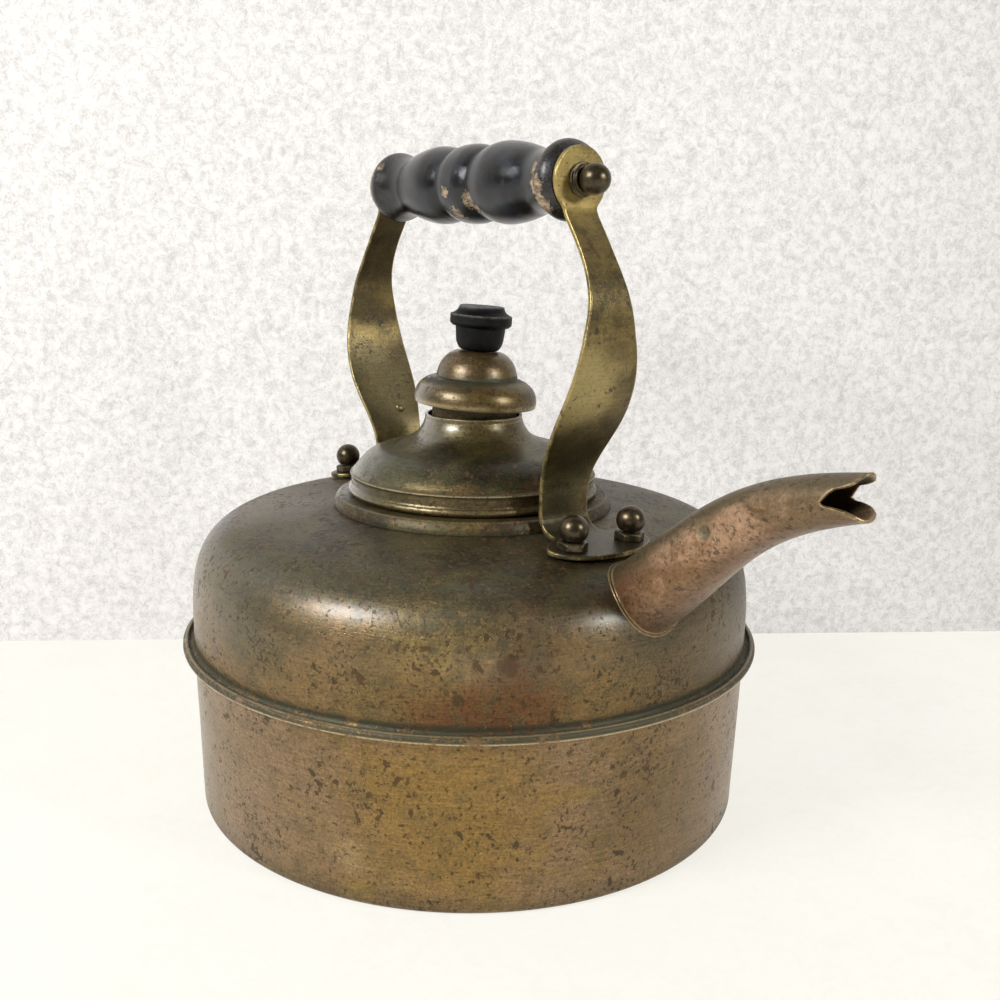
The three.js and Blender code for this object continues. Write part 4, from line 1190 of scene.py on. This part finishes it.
def makeSeatRing():
    look = ringLook
    sleeve = look["bore"] + look["sleeve"]
    land = look["radius"] - look["rounding"]
    path = np.vstack([
        [(look["bore"], seatTop - look["depth"]), (sleeve, seatTop - look["depth"])],
        [(sleeve, seatFoot + (look["radius"] - sleeve) * domeLook["topSlope"])],
        sharesLine(look["shares"], (land, seatFoot), (look["rounding"], look["rise"])),
        [(look["bore"], seatTop)],
    ])
    rubbed = wornAt(((land, seatTop), (look["bore"], seatTop)), look["worn"])
    turnedPiece("seatRing", path, ringCopper, "kettle", "lid_seat_ring", True, None, 256, 0.35, rubbed)


lidLook = {
    "sheet": 0.9,
    "overlap": 1.8,
    "roll": 1.4,
    "step": 1.0,
    "bandHeight": 5.2,
    "bead": 0.42,
    "bandEnds": (0.6, 1.2),  # above the roll and below the bead
    "curveLift": 0.5,
    "neck": 16.7,
    "crown": 20.4,
    "shares": ((1, 0), (0.972, 0.03), (0.909, 0.137), (0.799, 0.284), (0.642, 0.397), (0.445, 0.471),
               (0.268, 0.549), (0.13, 0.647), (0.047, 0.784), (0.008, 0.902), (0, 1)),
    "bezelGap": 0.4,
    "bezelWall": 1.0,
    "bezelDepth": 7.0,
    "bezelRise": 4.5,
    "ventDrop": 3.5,
    "worn": (((0.4, 0.1), 0.36, 0.7), ((0, 0.2), 0.5, 0.25), ((0, 0), 0.5, 0.9), ((0, -1.6), 0.3, 0.5)),
}
lidRim = ringLook["bore"] + lidLook["overlap"]
lidBand = lidRim - lidLook["step"]
lidBandTop = seatTop + gap + lidLook["roll"] + lidLook["bandHeight"]
neckTop = lidBandTop + lidLook["crown"]
ventTop = neckTop - lidLook["ventDrop"]


def makeLid():
    look = lidLook
    rollCentre = (lidRim - look["roll"], seatTop + gap + look["roll"])
    roll = arcPoints(rollCentre, look["roll"], -90, 62, 13)
    bead = arcPoints((lidBand, lidBandTop), look["bead"], -80, 80, 7)
    lift, (above, below) = look["curveLift"], look["bandEnds"]
    span = (lidBand - look["neck"], look["crown"] - lift)
    curve = sharesLine(look["shares"], (look["neck"], lidBandTop + lift), span)
    inner = movedLeft(np.vstack([roll, [(lidBand, lidBandTop)], curve]), look["sheet"])[::-1]
    band = [(lidBand, roll[-1, 1] + above), (lidBand, lidBandTop - below)]
    path = np.vstack([roll, band, bead, curve, inner])
    corners = ((lidBand, lidBandTop), (lidRim, rollCentre[1]), (look["neck"], neckTop), (look["neck"], neckTop))
    rubbed = wornAt(corners, look["worn"])
    turnedPiece("lid", path, lidCopper, "lid", "lid_dome", True, None, 224, 0.3, rubbed)


def makeBezel():
    look = lidLook
    outer = ringLook["bore"] - look["bezelGap"]
    low, high = seatTop - look["bezelDepth"], seatTop + look["bezelRise"]
    path = tubePath(outer - look["bezelWall"], outer, low, high)
    turnedPiece("bezel", path, innerCopper, "lid", "lid_bezel", True, sides=160)


capLook = {
    "lean": 3.3,
    "towards": 54.7,
    "sheet": 1.0,
    "brim": 21.0,
    "brimBottom": 6.8,
    "brimHeight": 9.2,
    "crown": 14.0,
    "crownHeight": 8.9,
    "soft": 0.5,
    "brimShares": ((0.957, 0), (1, 0.185), (0.957, 0.42), (0.8, 0.663), (0.514, 0.859), (0.2, 0.967), (0, 1)),
    "crownShares": ((1, 0), (0.95, 0.33), (0.871, 0.6), (0.743, 0.83), (0.593, 0.966), (0.43, 1)),
    "screw": 2.0,
    "screwHead": (4.0, -3.9, -1.5),
    "screwRise": 8.2,
    "screwCore": 0.8,
    "spacerWall": 1.5,
    "collarGap": 1.2,
    "collarWall": 1.0,
    "collarDepth": 1.7,
    "collarTop": 14.6,
    "worn": (((-0.2, 0.9), 0.8, 0.7),),
}
capBrimTop = capLook["brimBottom"] + capLook["brimHeight"]
capCrownTop = capBrimTop + capLook["crownHeight"]
leanTowards = math.radians(capLook["towards"])
leanAxis = (-math.sin(leanTowards), math.cos(leanTowards), 0)
capPlace = Matrix.Translation((0, 0, ventTop)) @ rotation(capLook["lean"], leanAxis)


def makeCap():
    look = capLook
    hole = look["screw"] + gap
    brim = sharesLine(look["brimShares"], (look["crown"], look["brimBottom"]),
                      (look["brim"] - look["crown"], look["brimHeight"]))
    crown = sharesLine(look["crownShares"], (0, capBrimTop), (look["crown"], look["crownHeight"]))
    outer = softened(np.vstack([brim, crown[1:], [(hole, capCrownTop)]]), look["soft"])
    path = sheetLoop(outer, look["sheet"])
    rubbed = wornAt(((look["brim"], look["brimBottom"]),), look["worn"])
    turnedPiece("steamCap", path, capCopper, "cap", "steam_cap", True, capPlace, 160, 0.2, rubbed)


def makeCapInside():
    look = capLook
    outer = lidLook["neck"] - lidLook["sheet"] - look["collarGap"]
    low = lidLook["ventDrop"] - look["collarDepth"]
    collar = tubePath(outer - look["collarWall"], outer, low, look["collarTop"])
    turnedPiece("capCollar", collar, innerCopper, "cap", "cap_collar", True, capPlace, 128)
    hole = look["screw"] + gap
    spacer = tubePath(hole, hole + look["spacerWall"], gap, capCrownTop - look["sheet"] - gap)
    turnedPiece("spacer", spacer, plainSteel, "cap", "vent_spacer", True, capPlace, 64)
    screw = pinPath(look["screwCore"], look["screwHead"], look["screw"], capCrownTop + look["screwRise"])
    turnedPiece("capScrew", screw, plainSteel, "cap", "cap_screw", False, capPlace, 64, 0.3)


knobLook = {
    "foot": 5.9,
    "cup": 8.5,
    "cupHeight": 7.9,
    "rim": 10.5,
    "easing": 1.0,
    "rimHeight": 3.0,
    "coveHeight": 3.0,
    "lip": 0.1,
    "boredOver": 0.3,
    "cores": (1, 0.6),  # the smallest circles, in the bore and on top
    "topEdge": (1.2, 0.05),  # inset and rise of the edge round the top
    "flat": 3,
    "top": 7.5,
    "cupShares": ((0, 0), (0.3, 0.06), (0.54, 0.16), (0.79, 0.36), (0.9, 0.65), (1, 1)),
    "coveShares": ((1, 0), (0.62, 0.16), (0.28, 0.42), (0.1, 0.72), (0, 1)),
    "worn": (((0, 0), 0.35, 1), ((0, 0), 0.35, 1)),
}


def makeKnob():
    look = knobLook
    hole = capLook["screw"] + gap
    bottom = capCrownTop + gap
    cupTop = bottom + look["cupHeight"]
    rimTop = cupTop + look["easing"] + look["rimHeight"]
    top = rimTop + look["coveHeight"]
    bored, (core, middle), (inset, dish) = cupTop + look["boredOver"], look["cores"], look["topEdge"]
    path = np.vstack([
        [(core, bored), (hole, bored), (hole, bottom)],
        sharesLine(look["cupShares"], (look["foot"], bottom), (look["cup"] - look["foot"], look["cupHeight"])),
        [(look["rim"] - look["easing"], cupTop + look["lip"]), (look["rim"], cupTop + look["easing"])],
        sharesLine(look["coveShares"], (look["top"], rimTop), (look["rim"] - look["top"], look["coveHeight"])),
        [(look["top"] - inset, top + dish), (look["flat"], top), (middle, top)],
    ])
    rubbed = wornAt(((look["rim"], rimTop), (look["top"], top)), look["worn"])
    turnedPiece("knob", path, knobBlack, "cap", "knob", False, capPlace, 144, 0.3, rubbed)


strapLook = {
    "thickness": 1.5,
    "seatClear": 0.65,
    "gripRise": 109.1,
    "eyeSpread": 2.8,
    "eyeRadius": 9.9,
    "eyeBendDrop": 8.7,
    "eyeBendLength": 3.4,
    "eyeSlope": 36.8,
    "eyePull": 25.5,
    "bulgeSpread": 18.7,
    "bulgeDrop": 45.9,
    "bulgePulls": (23.1, 9.7),
    "waistRise": 12.0,
    "waistPull": 15.2,
    "footBendRise": 7.1,
    "footBendSpread": 8.4,
    "halves": (9.5, 13.1, 6.2),
    "widestRise": 26.1,
    "neckDrop": 18.2,
    "footHalf": (10.0, 19.0),
    "footSetBack": 0.9,
    "footPitch": 3.7,
    "footJoin": 131.0,
    "footTop": 101.9,
    "corner": 0.42,
    "faceShares": (0.97, 0.9, 0.7, 0.45, 0.2, -0.05, -0.3, -0.55, -0.8, -0.93, -0.985),
}
studLook = {
    "spread": 18.5,
    "spacing": 22.9,
    "radius": 2.1,
    "head": (4.2, 1.6),
    "acrossCorners": 9.7,
    "nutHeight": 2.3,
    "nutFoot": 0.05,
    "bevel": 0.12,
    "chamfer": (0.25, 1.6),  # inset at the top, and widening per millimetre of drop
    "nutRows": (0.6, 0.75, 0.5, 0.3),  # above the foot, then below the top
    "land": 0.6,
    "core": 0.5,
    "ballCore": 0.6,
    "neckBevel": (0.25, 0.02),  # in and out of the neck's radius
    "ball": 4.5,
    "seatShare": 0.71,
    "bored": 0.45,
    "holeSpan": (-8.0, 4.0),
}
turnTo = {"front": rotation(0, "Z"), "rear": rotation(180, "Z")}
studSides = [(end, hand) for end in turnTo for hand in ("right", "left")]
waistReach = ringLook["radius"] + strapLook["seatClear"] + strapLook["thickness"] / 2
studReach = waistReach + studLook["spread"]
gripHeight = shoulderEnd[1] + strapLook["gripRise"]
eyeReach = waistReach + strapLook["eyeSpread"]
footSlope = math.tan(math.radians(strapLook["footPitch"]))


# Rows of a strap from the front of its foot to the top of its eye: middle line in X and Z, and half width
def strapRows():
    look = strapLook
    footDepth, footWidth = look["footHalf"]
    footMiddle = look["footTop"] - look["thickness"] / 2
    waistHeight = look["footTop"] + look["waistRise"]
    bendHeight = look["footTop"] + look["footBendRise"]
    bendReach = waistReach + look["footBendSpread"]
    footCentre = studReach - look["footSetBack"]
    waistHalf, widestHalf, neckHalf = look["halves"]
    bulge = np.array((waistReach + look["bulgeSpread"], gripHeight - look["bulgeDrop"]))
    slope = math.radians(look["eyeSlope"])
    fromEye = np.array((math.sin(slope), -math.cos(slope)))
    eyeCorner = np.array((eyeReach, gripHeight - look["eyeBendDrop"]))
    eyeFoot = eyeCorner + fromEye * look["eyeBendLength"]

    def footPoint(reach):
        return np.array((reach, footMiddle - (reach - studReach) * footSlope))

    # Foot: an ellipse's depth and width by angle, then the quadratic curve into the waist's width
    angle = np.radians(np.linspace(0.5, look["footJoin"], 60))
    ovalX, ovalHalf = footCentre + footDepth * np.cos(angle), footWidth * np.sin(angle)
    waistAt = (bendReach - look["thickness"], waistHalf)
    joined = bendPoints((ovalX[-1], ovalHalf[-1]), (bendReach, waistHalf), waistAt, 12)
    bend = bendPoints(footPoint(bendReach), footPoint(waistReach), (waistReach, bendHeight), 26)
    flat = ovalX[ovalX > bendReach]
    foot = np.stack([flat, footMiddle - (flat - studReach) * footSlope], -1)
    outlineX = np.concatenate([ovalX, joined[1:, 0], [0]])
    outlineHalf = np.concatenate([ovalHalf, joined[1:, 1], [waistHalf]])
    waist, (pullDown, pullUp) = np.array((waistReach, waistHeight)), look["bulgePulls"]
    lower = bezierPoints(waist, waist + (0, look["waistPull"]), bulge - (0, pullDown), bulge, 70)
    upper = bezierPoints(bulge, bulge + (0, pullUp), eyeFoot + fromEye * look["eyePull"], eyeFoot, 60)
    eyeBend = bendPoints(eyeFoot, eyeCorner, eyeCorner + (0, look["eyeBendLength"]), 14)
    top = np.arcsin((eyeBend[-1, 1] - gripHeight) / look["eyeRadius"])
    eyeHeights = gripHeight + look["eyeRadius"] * np.sin(np.linspace(top, np.radians(89.5), 44))[1:]
    eye = np.stack([0 * eyeHeights + eyeReach, eyeHeights], -1)
    straight = np.linspace(bend[-1], waist, 8)
    rising = np.vstack([straight[1:], lower[1:], upper[1:], eyeBend[1:], eye])
    line = np.vstack([foot, bend, rising])

    low = np.vstack([foot, bend])
    footHalfAt = np.interp(-low[:, 0], -outlineX, outlineHalf)
    height = rising[:, 1]
    widestHeight = waistHeight + look["widestRise"]
    bow = waistHalf + (widestHalf - waistHalf) * eased(height, waistHeight, widestHeight)
    bow = bow + (neckHalf - bow) * eased(height, widestHeight, gripHeight - look["neckDrop"])
    disc = np.sqrt(np.clip(look["eyeRadius"] ** 2 - (height - gripHeight) ** 2, 0, None))
    joinedHalf = (bow**14 + disc**14) ** (1 / 14)
    half = np.where(height > gripHeight, disc, joinedHalf)
    return line, np.concatenate([footHalfAt, half])


# A strap: a rounded rectangle carried along the middle line, its width across Y and its thickness along the
# line's normal. The attribute is 1 on the rounded corners.
def strapRings():
    look = strapLook
    line, half = strapRows()
    along = directions(line)
    turn = np.radians(np.linspace(0, 90, 5))
    corner = np.minimum(look["corner"], half)[:, None]
    flat, ones = np.array(look["faceShares"]), np.ones(5)
    halfSide = np.concatenate([ones, flat, -ones])
    halfSideways = np.concatenate([np.cos(turn), 0 * flat, -np.cos(turn[::-1])])
    halfOutwards = np.concatenate([np.sin(turn), 0 * flat + 1, np.sin(turn[::-1])])
    side, sideways, outwards = (np.append(run, -run) for run in (halfSide, halfSideways, halfOutwards))
    face = np.repeat((1.0, -1.0), len(halfSide))
    edge = np.tile(np.concatenate([ones, 0 * flat, ones]), 2)
    across = side * (half[:, None] - corner) + corner * sideways
    outwards = face * (look["thickness"] / 2 - corner) + corner * outwards
    rings = np.stack([
        line[:, :1] + outwards * along[:, 1:],
        across,
        line[:, 1:] - outwards * along[:, :1],
    ], -1)
    return rings, np.broadcast_to(edge, rings.shape[:2])


def makeStraps():
    rings, edge = strapRings()
    values = {"edge": edge}
    for end, turn in turnTo.items():
        surfacePiece(end + "Strap", placed(rings, turn), strapBrass, "kettle", end + "_strap", values=values)


# The stud's own frame on a foot: its origin on the foot's top face and its axis square to the foot
def studPlace(end, hand):
    side = 1 if hand == "right" else -1
    centre = Matrix.Translation((studReach, side * studLook["spacing"] / 2, strapLook["footTop"]))
    return turnTo[end] @ centre @ rotation(strapLook["footPitch"], "Y")


# A hexagon nut: each ring's radius is the smaller of the hexagon's, apothem over cosine of the angle from the
# nearest flat's middle, and a chamfer's that widens below the top
def makeHexNut(name, node, matrix):
    look = studLook
    low, high, bevel = look["nutFoot"], gap + look["nutHeight"], look["bevel"]
    apothem = look["acrossCorners"] / 2 * math.cos(math.radians(30))
    angle = roundAngles(120)
    fromFlat = (angle % (fullTurn / 6)) - fullTurn / 12
    hexagon = np.minimum(apothem / np.cos(fromFlat), look["acrossCorners"] / 2 - bevel)
    hole = look["radius"] + gap
    first, *others = look["nutRows"]
    heights = np.concatenate([low + np.array((0, bevel, first)), high - np.array((*others, bevel, 0))])
    inset, slant = look["chamfer"]
    chamfer = apothem - inset + slant * (high - heights)
    radius = np.minimum(hexagon[None, :], chamfer[:, None])
    radius[0] -= bevel
    inner = np.full((2, len(angle)), hole)
    radius = np.vstack([inner[:1], radius, radius[-1:] * look["land"] + hole * (1 - look["land"]), inner[1:]])
    heights = np.concatenate([[low], heights, [high, high]])[:, None]
    rings = placed(roundAxis(radius, angle, heights), matrix)
    surfacePiece(name, rings, nutBronze, "kettle", node, True)


rivetLook = {
    "rise": 13.6,
    "side": -3.1,
    "dome": (1.9, 1.1),
    "shank": 0.9,
    "core": 0.4,
    "pin": 1.1,
    "tail": (1.7, -1.5, -0.9),
}


# A ball nut: a short neck on the seat, then the sphere
def ballPath(radius, seat, hole):
    look = studLook
    centre = seat + radius * look["seatShare"]
    start = -math.degrees(math.asin(look["seatShare"]))
    ball = arcPoints((0, centre), radius, start, 88, 46)
    neck = ball[0, 0]
    bored = centre + look["bored"] * radius
    bevel, flare = look["neckBevel"]
    foot = [(look["ballCore"], bored), (hole, bored), (hole, seat)]
    return np.vstack([foot, [(neck - bevel, seat), (neck + flare, seat + bevel)], ball[2:]])


def makeStuds():
    look = studLook
    head, thick = look["head"]
    ballSeat = 2 * gap + look["nutHeight"]
    shankTop = ballSeat + look["ball"] * (look["seatShare"] + look["bored"]) - gap
    lean = head * math.sin(math.radians(strapLook["footPitch"]))
    ball = ballPath(look["ball"], ballSeat, look["radius"] + gap)
    for end, hand in studSides:
        name, node, place = end + hand.capitalize(), end + "_" + hand, studPlace(end, hand)
        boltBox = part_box(node + "_strap_bolt")
        bottom = boltBox[0].z / mm - strapLook["footTop"] + lean
        bolt = pinPath(look["core"], (head, bottom, bottom + thick), look["radius"], shankTop)
        turnedPiece(name + "Bolt", bolt, plainSteel, "kettle", node + "_strap_bolt", False, place, 48, 0.25)
        makeHexNut(name + "HexNut", node + "_hex_nut", place)
        turnedPiece(name + "BallNut", ball, ballBronze, "kettle", node + "_ball_nut", False, place, 72, 0.15)


# The rivet through the rear strap: its axis square to the strap's line at the height that it stands at
def makeRivet():
    look = rivetLook
    line, _ = strapRows()
    height = strapLook["footTop"] + strapLook["waistRise"] + look["rise"]
    above = int(np.argmax(line[:, 1] > height))
    run = line[above] - line[above - 1]
    middle = Matrix.Translation((line[above, 0], look["side"], height))
    place = turnTo["rear"] @ middle @ Matrix.Rotation(-math.atan2(run[1], run[0]), 4, "Y")
    dome = arcPoints((0, 0), 1, 0, 88, 12) * look["dome"] + (0, look["shank"])
    path = np.vstack([pinPath(look["core"], look["tail"], look["pin"], look["shank"])[:-1], dome])
    turnedPiece("rivet", path, strapBrass, "kettle", "rear_strap_rivet", False, place, 48, 0.12)


gripLook = {
    "radius": 12.9,
    "bead": ((0, 0.992), (0.06, 0.98), (0.12, 0.925), (0.172, 0.845)),
    "barrel": ((0.172, 0.845), (0.21, 0.895), (0.27, 0.957), (0.35, 1), (0.44, 0.978), (0.53, 0.92),
               (0.61, 0.84), (0.69, 0.75), (0.75, 0.745), (0.82, 0.8), (0.87, 0.87), (0.916, 0.93),
               (0.955, 0.905), (0.98, 0.84), (1, 0.767)),
    "rod": 2.1,
    "collar": ((5.1, 1.0), (4.3, 1.3)),
    "set": 0.25,
    "ball": 4.6,
}
ontoRod = Matrix.Translation((0, 0, gripHeight)) @ rotation(90, "Y")


def makeGrip():
    look = gripLook
    halfLength = eyeReach - strapLook["thickness"] / 2 - gap
    hole = look["rod"] + gap
    bead = sharesLine(look["bead"], (0, 0), (halfLength, look["radius"]), 8)
    barrel = sharesLine(look["barrel"], (0, 0), (halfLength, look["radius"]), 8)
    half = np.vstack([bead[:-1], barrel])[:, ::-1]
    other = (half[1:] * (1, -1))[::-1]
    path = np.vstack([[(hole, -halfLength)], other, half, [(hole, halfLength)]])
    turnedPiece("grip", path, gripPaint, "grip", "grip", True, ontoRod, 160, 0.3)
    seat = eyeReach + strapLook["thickness"] / 2 + gap
    (wide, first), (narrow, second) = look["collar"]
    step, last = seat + first, seat + first + second
    ballSeat = last + gap
    rodEnd = ballSeat + look["ball"] * (studLook["seatShare"] + studLook["bored"]) - gap
    rod = tubePath(studLook["core"], look["rod"], -rodEnd, rodEnd)
    turnedPiece("gripRod", rod, plainSteel, "kettle", "grip_rod", False, ontoRod, 48, 0.3)
    inner = seat - look["set"]
    collar = [(hole, inner), (wide, inner), (wide, step), (narrow, step), (narrow, last), (hole, last)]
    ball = ballPath(look["ball"], ballSeat, hole)
    for end, turn in turnTo.items():
        node, place = end + "_grip", turn @ ontoRod
        turnedPiece(end + "GripCollar", collar, nutBronze, "kettle", node + "_collar", True, place, 72, 0.3)
        turnedPiece(end + "GripBall", ball, ballBronze, "kettle", node + "_ball_nut", False, place, 72, 0.15)


# A straight cutter for a stud hole through the dome
def studCutter(end, hand):
    hole = studLook["radius"] + gap
    rings = turnedRings(np.array([(hole, low) for low in studLook["holeSpan"]]), 32)
    return cutterFrom("studHole", placed(rings, studPlace(end, hand)))


makePan()
makeDome()
print("kettle: body turned")
makeSpout()
print("kettle: spout drawn")
makeSeatRing()
makeLid()
makeBezel()
makeCap()
makeCapInside()
makeKnob()
print("kettle: lid and cap turned")
makeStraps()
makeStuds()
makeRivet()
makeGrip()
print("kettle: handle made")

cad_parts["vent_plate"].material_slots[0].material = innerCopper


cameraLook = {
    "azimuth": 54.73,
    "away": 389.7,
    "height": 192.0,
    "yaw": 1.415,
    "pitch": 12.955,
    "roll": 1.112,
    "sensor": 36,
    "focal": 1.1383,
    "pixels": 1000,
    "clip": (0.01, 20),
}


# The camera's axes in the kettle's frame, as three rows: right, up and back
def cameraAxes():
    look = cameraLook
    a, yaw, pitch, roll = (math.radians(look[key]) for key in ("azimuth", "yaw", "pitch", "roll"))
    forward = np.array((math.sin(yaw) * math.cos(pitch), math.cos(yaw) * math.cos(pitch), -math.sin(pitch)))
    right = np.array((math.cos(yaw), -math.sin(yaw), 0))
    up = np.cross(right, forward)
    right, up = math.cos(roll) * right + math.sin(roll) * up, math.cos(roll) * up - math.sin(roll) * right
    turned = np.array(((math.cos(a), -math.sin(a), 0), (math.sin(a), math.cos(a), 0), (0, 0, 1)))
    return np.array((right, up, -forward)) @ turned.T


def cameraPlace():
    look = cameraLook
    a = math.radians(look["azimuth"])
    return np.array((look["away"] * math.sin(a), -look["away"] * math.cos(a), look["height"]))


def makeCamera():
    right, up, back = cameraAxes()
    camera = added("camera", bpy.data.cameras.new("camera"))
    camera.data.sensor_width = cameraLook["sensor"]
    camera.data.lens = cameraLook["sensor"] * cameraLook["focal"]
    camera.data.clip_start, camera.data.clip_end = cameraLook["clip"]
    axes = np.eye(4)
    axes[:3, :3] = np.array((right, up, back)).T
    axes[:3, 3] = cameraPlace() * mm
    camera.matrix_world = Matrix(axes.tolist())
    bpy.context.scene.camera = camera


# Where the line of sight through a picture point meets the floor
def onFloor(across, down):
    right, up, back = cameraAxes()
    middle = cameraLook["pixels"] / 2
    focal = cameraLook["focal"] * cameraLook["pixels"]
    sight = -back + (across - middle) / focal * right - (down - middle) / focal * up
    start = cameraPlace()
    return start - sight * start[2] / sight[2]


stageLook = {
    "lineLeft": (0, 641),
    "lineRight": (1000, 631),
    "wide": 1600,
    "deep": 2400,
    "tall": 1500,
    "floor": {"pale": tone(253, 251, 243), "shade": tone(251, 248, 239), "grain": 40, "glow": 0.8},
    "felt": {"pale": tone(251, 248, 244), "shade": tone(204, 201, 200), "grain": 4, "glow": 0.6},
    # painted shade on the backdrop, darker towards the right
    "fade": {"towards": (0.5975, 0.8019, 0), "from": 50, "to": 420, "darkest": 0.78},
}


def plane(name, corners, material):
    mesh = bpy.data.meshes.new(name)
    mesh.from_pydata([(Vector(corner) * mm)[:] for corner in corners], [], [(0, 1, 2, 3)])
    mesh.materials.append(material)
    added(name, mesh)


# Paper or felt that shows itself partly by its own light, so that shadows on it stay soft, and that is clear
# from behind. 'fade' darkens it along a direction as painted shade.
def paleSurface(name, look, fade=None):
    finish = newFinish(name)
    spot = finish.places()
    cloud = finish.noise(spot, look["grain"], 8.0, 0.72, 0.5)
    stirred = finish.ruffled(spot, look["grain"] / 2, look["grain"] / 3)
    fibre = finish.noise(stirred, look["grain"] / 6, 4.0, 0.7, 1.5)
    paint = finish.mixed(finish.between(0.5 * cloud + 0.5 * fibre, 0.36, 0.58), look["shade"], look["pale"])
    if fade:
        along = finish.node("VectorMath", {"operation": "DOT_PRODUCT"}, {0: spot, 1: fade["towards"]}, "Value")
        paint = finish.shaded(paint, finish.between(along, fade["from"], fade["to"], 1.0, fade["darkest"]))
    kinds = ("Camera", "Glossy", "Transmission")
    seen = strongest([finish.node("LightPath", output=f"Is {kind} Ray") for kind in kinds])
    matt = finish.node("BsdfDiffuse", {}, {"Color": paint})
    glowing = finish.node("Emission", {}, {"Color": paint, "Strength": 1.0})
    front = finish.node("MixShader", {}, {0: seen * look["glow"], 1: matt, 2: glowing})
    behind = finish.node("NewGeometry", output="Backfacing")
    clear = finish.node("BsdfTransparent")
    finish.node("OutputMaterial", {}, {0: finish.node("MixShader", {}, {0: behind, 1: front, 2: clear})})
    return finish.owner


def makeStage():
    look = stageLook
    left, right = onFloor(*look["lineLeft"]), onFloor(*look["lineRight"])
    along = (left - right) / np.linalg.norm(left - right)
    middle = (left + right) / 2
    towards = np.array((-along[1], along[0], 0))
    aside, ahead, above = along * look["wide"], towards * look["deep"], np.array((0, 0, look["tall"]))
    floor = [middle - aside - ahead, middle + aside - ahead, middle + aside + ahead, middle - aside + ahead]
    wall = [middle - aside, middle - aside + above, middle + aside + above, middle + aside]
    plane("floor", floor, paleSurface("tablePaper", look["floor"]))
    plane("backdrop", wall, paleSurface("feltBackdrop", look["felt"], look["fade"]))
    print("kettle: backdrop stands", round(float(abs(middle @ towards)), 1), "mm behind the axis")


lightLook = {
    "left": {"towards": (0.04, -0.843, 0.533), "away": 900, "size": (330, 230), "power": 7.8},
    "right": {"towards": (0.852, 0.298, 0.427), "away": 900, "size": (120, 180), "power": 3.6},
    "aim": 90,
    "room": 0.14,
    "roomColour": (1.0, 0.98, 0.95, 1),
    "beyond": tone(240, 238, 234),
}


# Rectangular lamps that face the kettle; the world lights it dimly, and is pale where the camera sees it
def makeLights():
    for name in ("left", "right"):
        look = lightLook[name]
        lamp = bpy.data.lights.new(name + "Light", "AREA")
        lamp.shape = "RECTANGLE"
        lamp.size, lamp.size_y = (side * mm for side in look["size"])
        lamp.energy = look["power"]
        holder = added(name + "Light", lamp)
        towards = Vector(look["towards"]).normalized()
        holder.rotation_mode = "QUATERNION"
        holder.location = (Vector((0, 0, lightLook["aim"])) + towards * look["away"]) * mm
        holder.rotation_quaternion = towards.to_track_quat("Z", "Y")
    world = Finish(bpy.data.worlds.new("room"))
    room = world.node("Background", {}, {"Color": lightLook["roomColour"], "Strength": lightLook["room"]})
    beyond = world.node("Background", {}, {"Color": lightLook["beyond"]})
    seen = world.node("LightPath", output="Is Camera Ray")
    world.node("OutputWorld", {}, {0: world.node("MixShader", {}, {0: seen, 1: room, 2: beyond})})
    bpy.context.scene.world = world.owner


makeCamera()
makeStage()
makeLights()
bpy.context.scene.view_settings.view_transform = "Standard"
print("kettle: stage, lights and camera set")
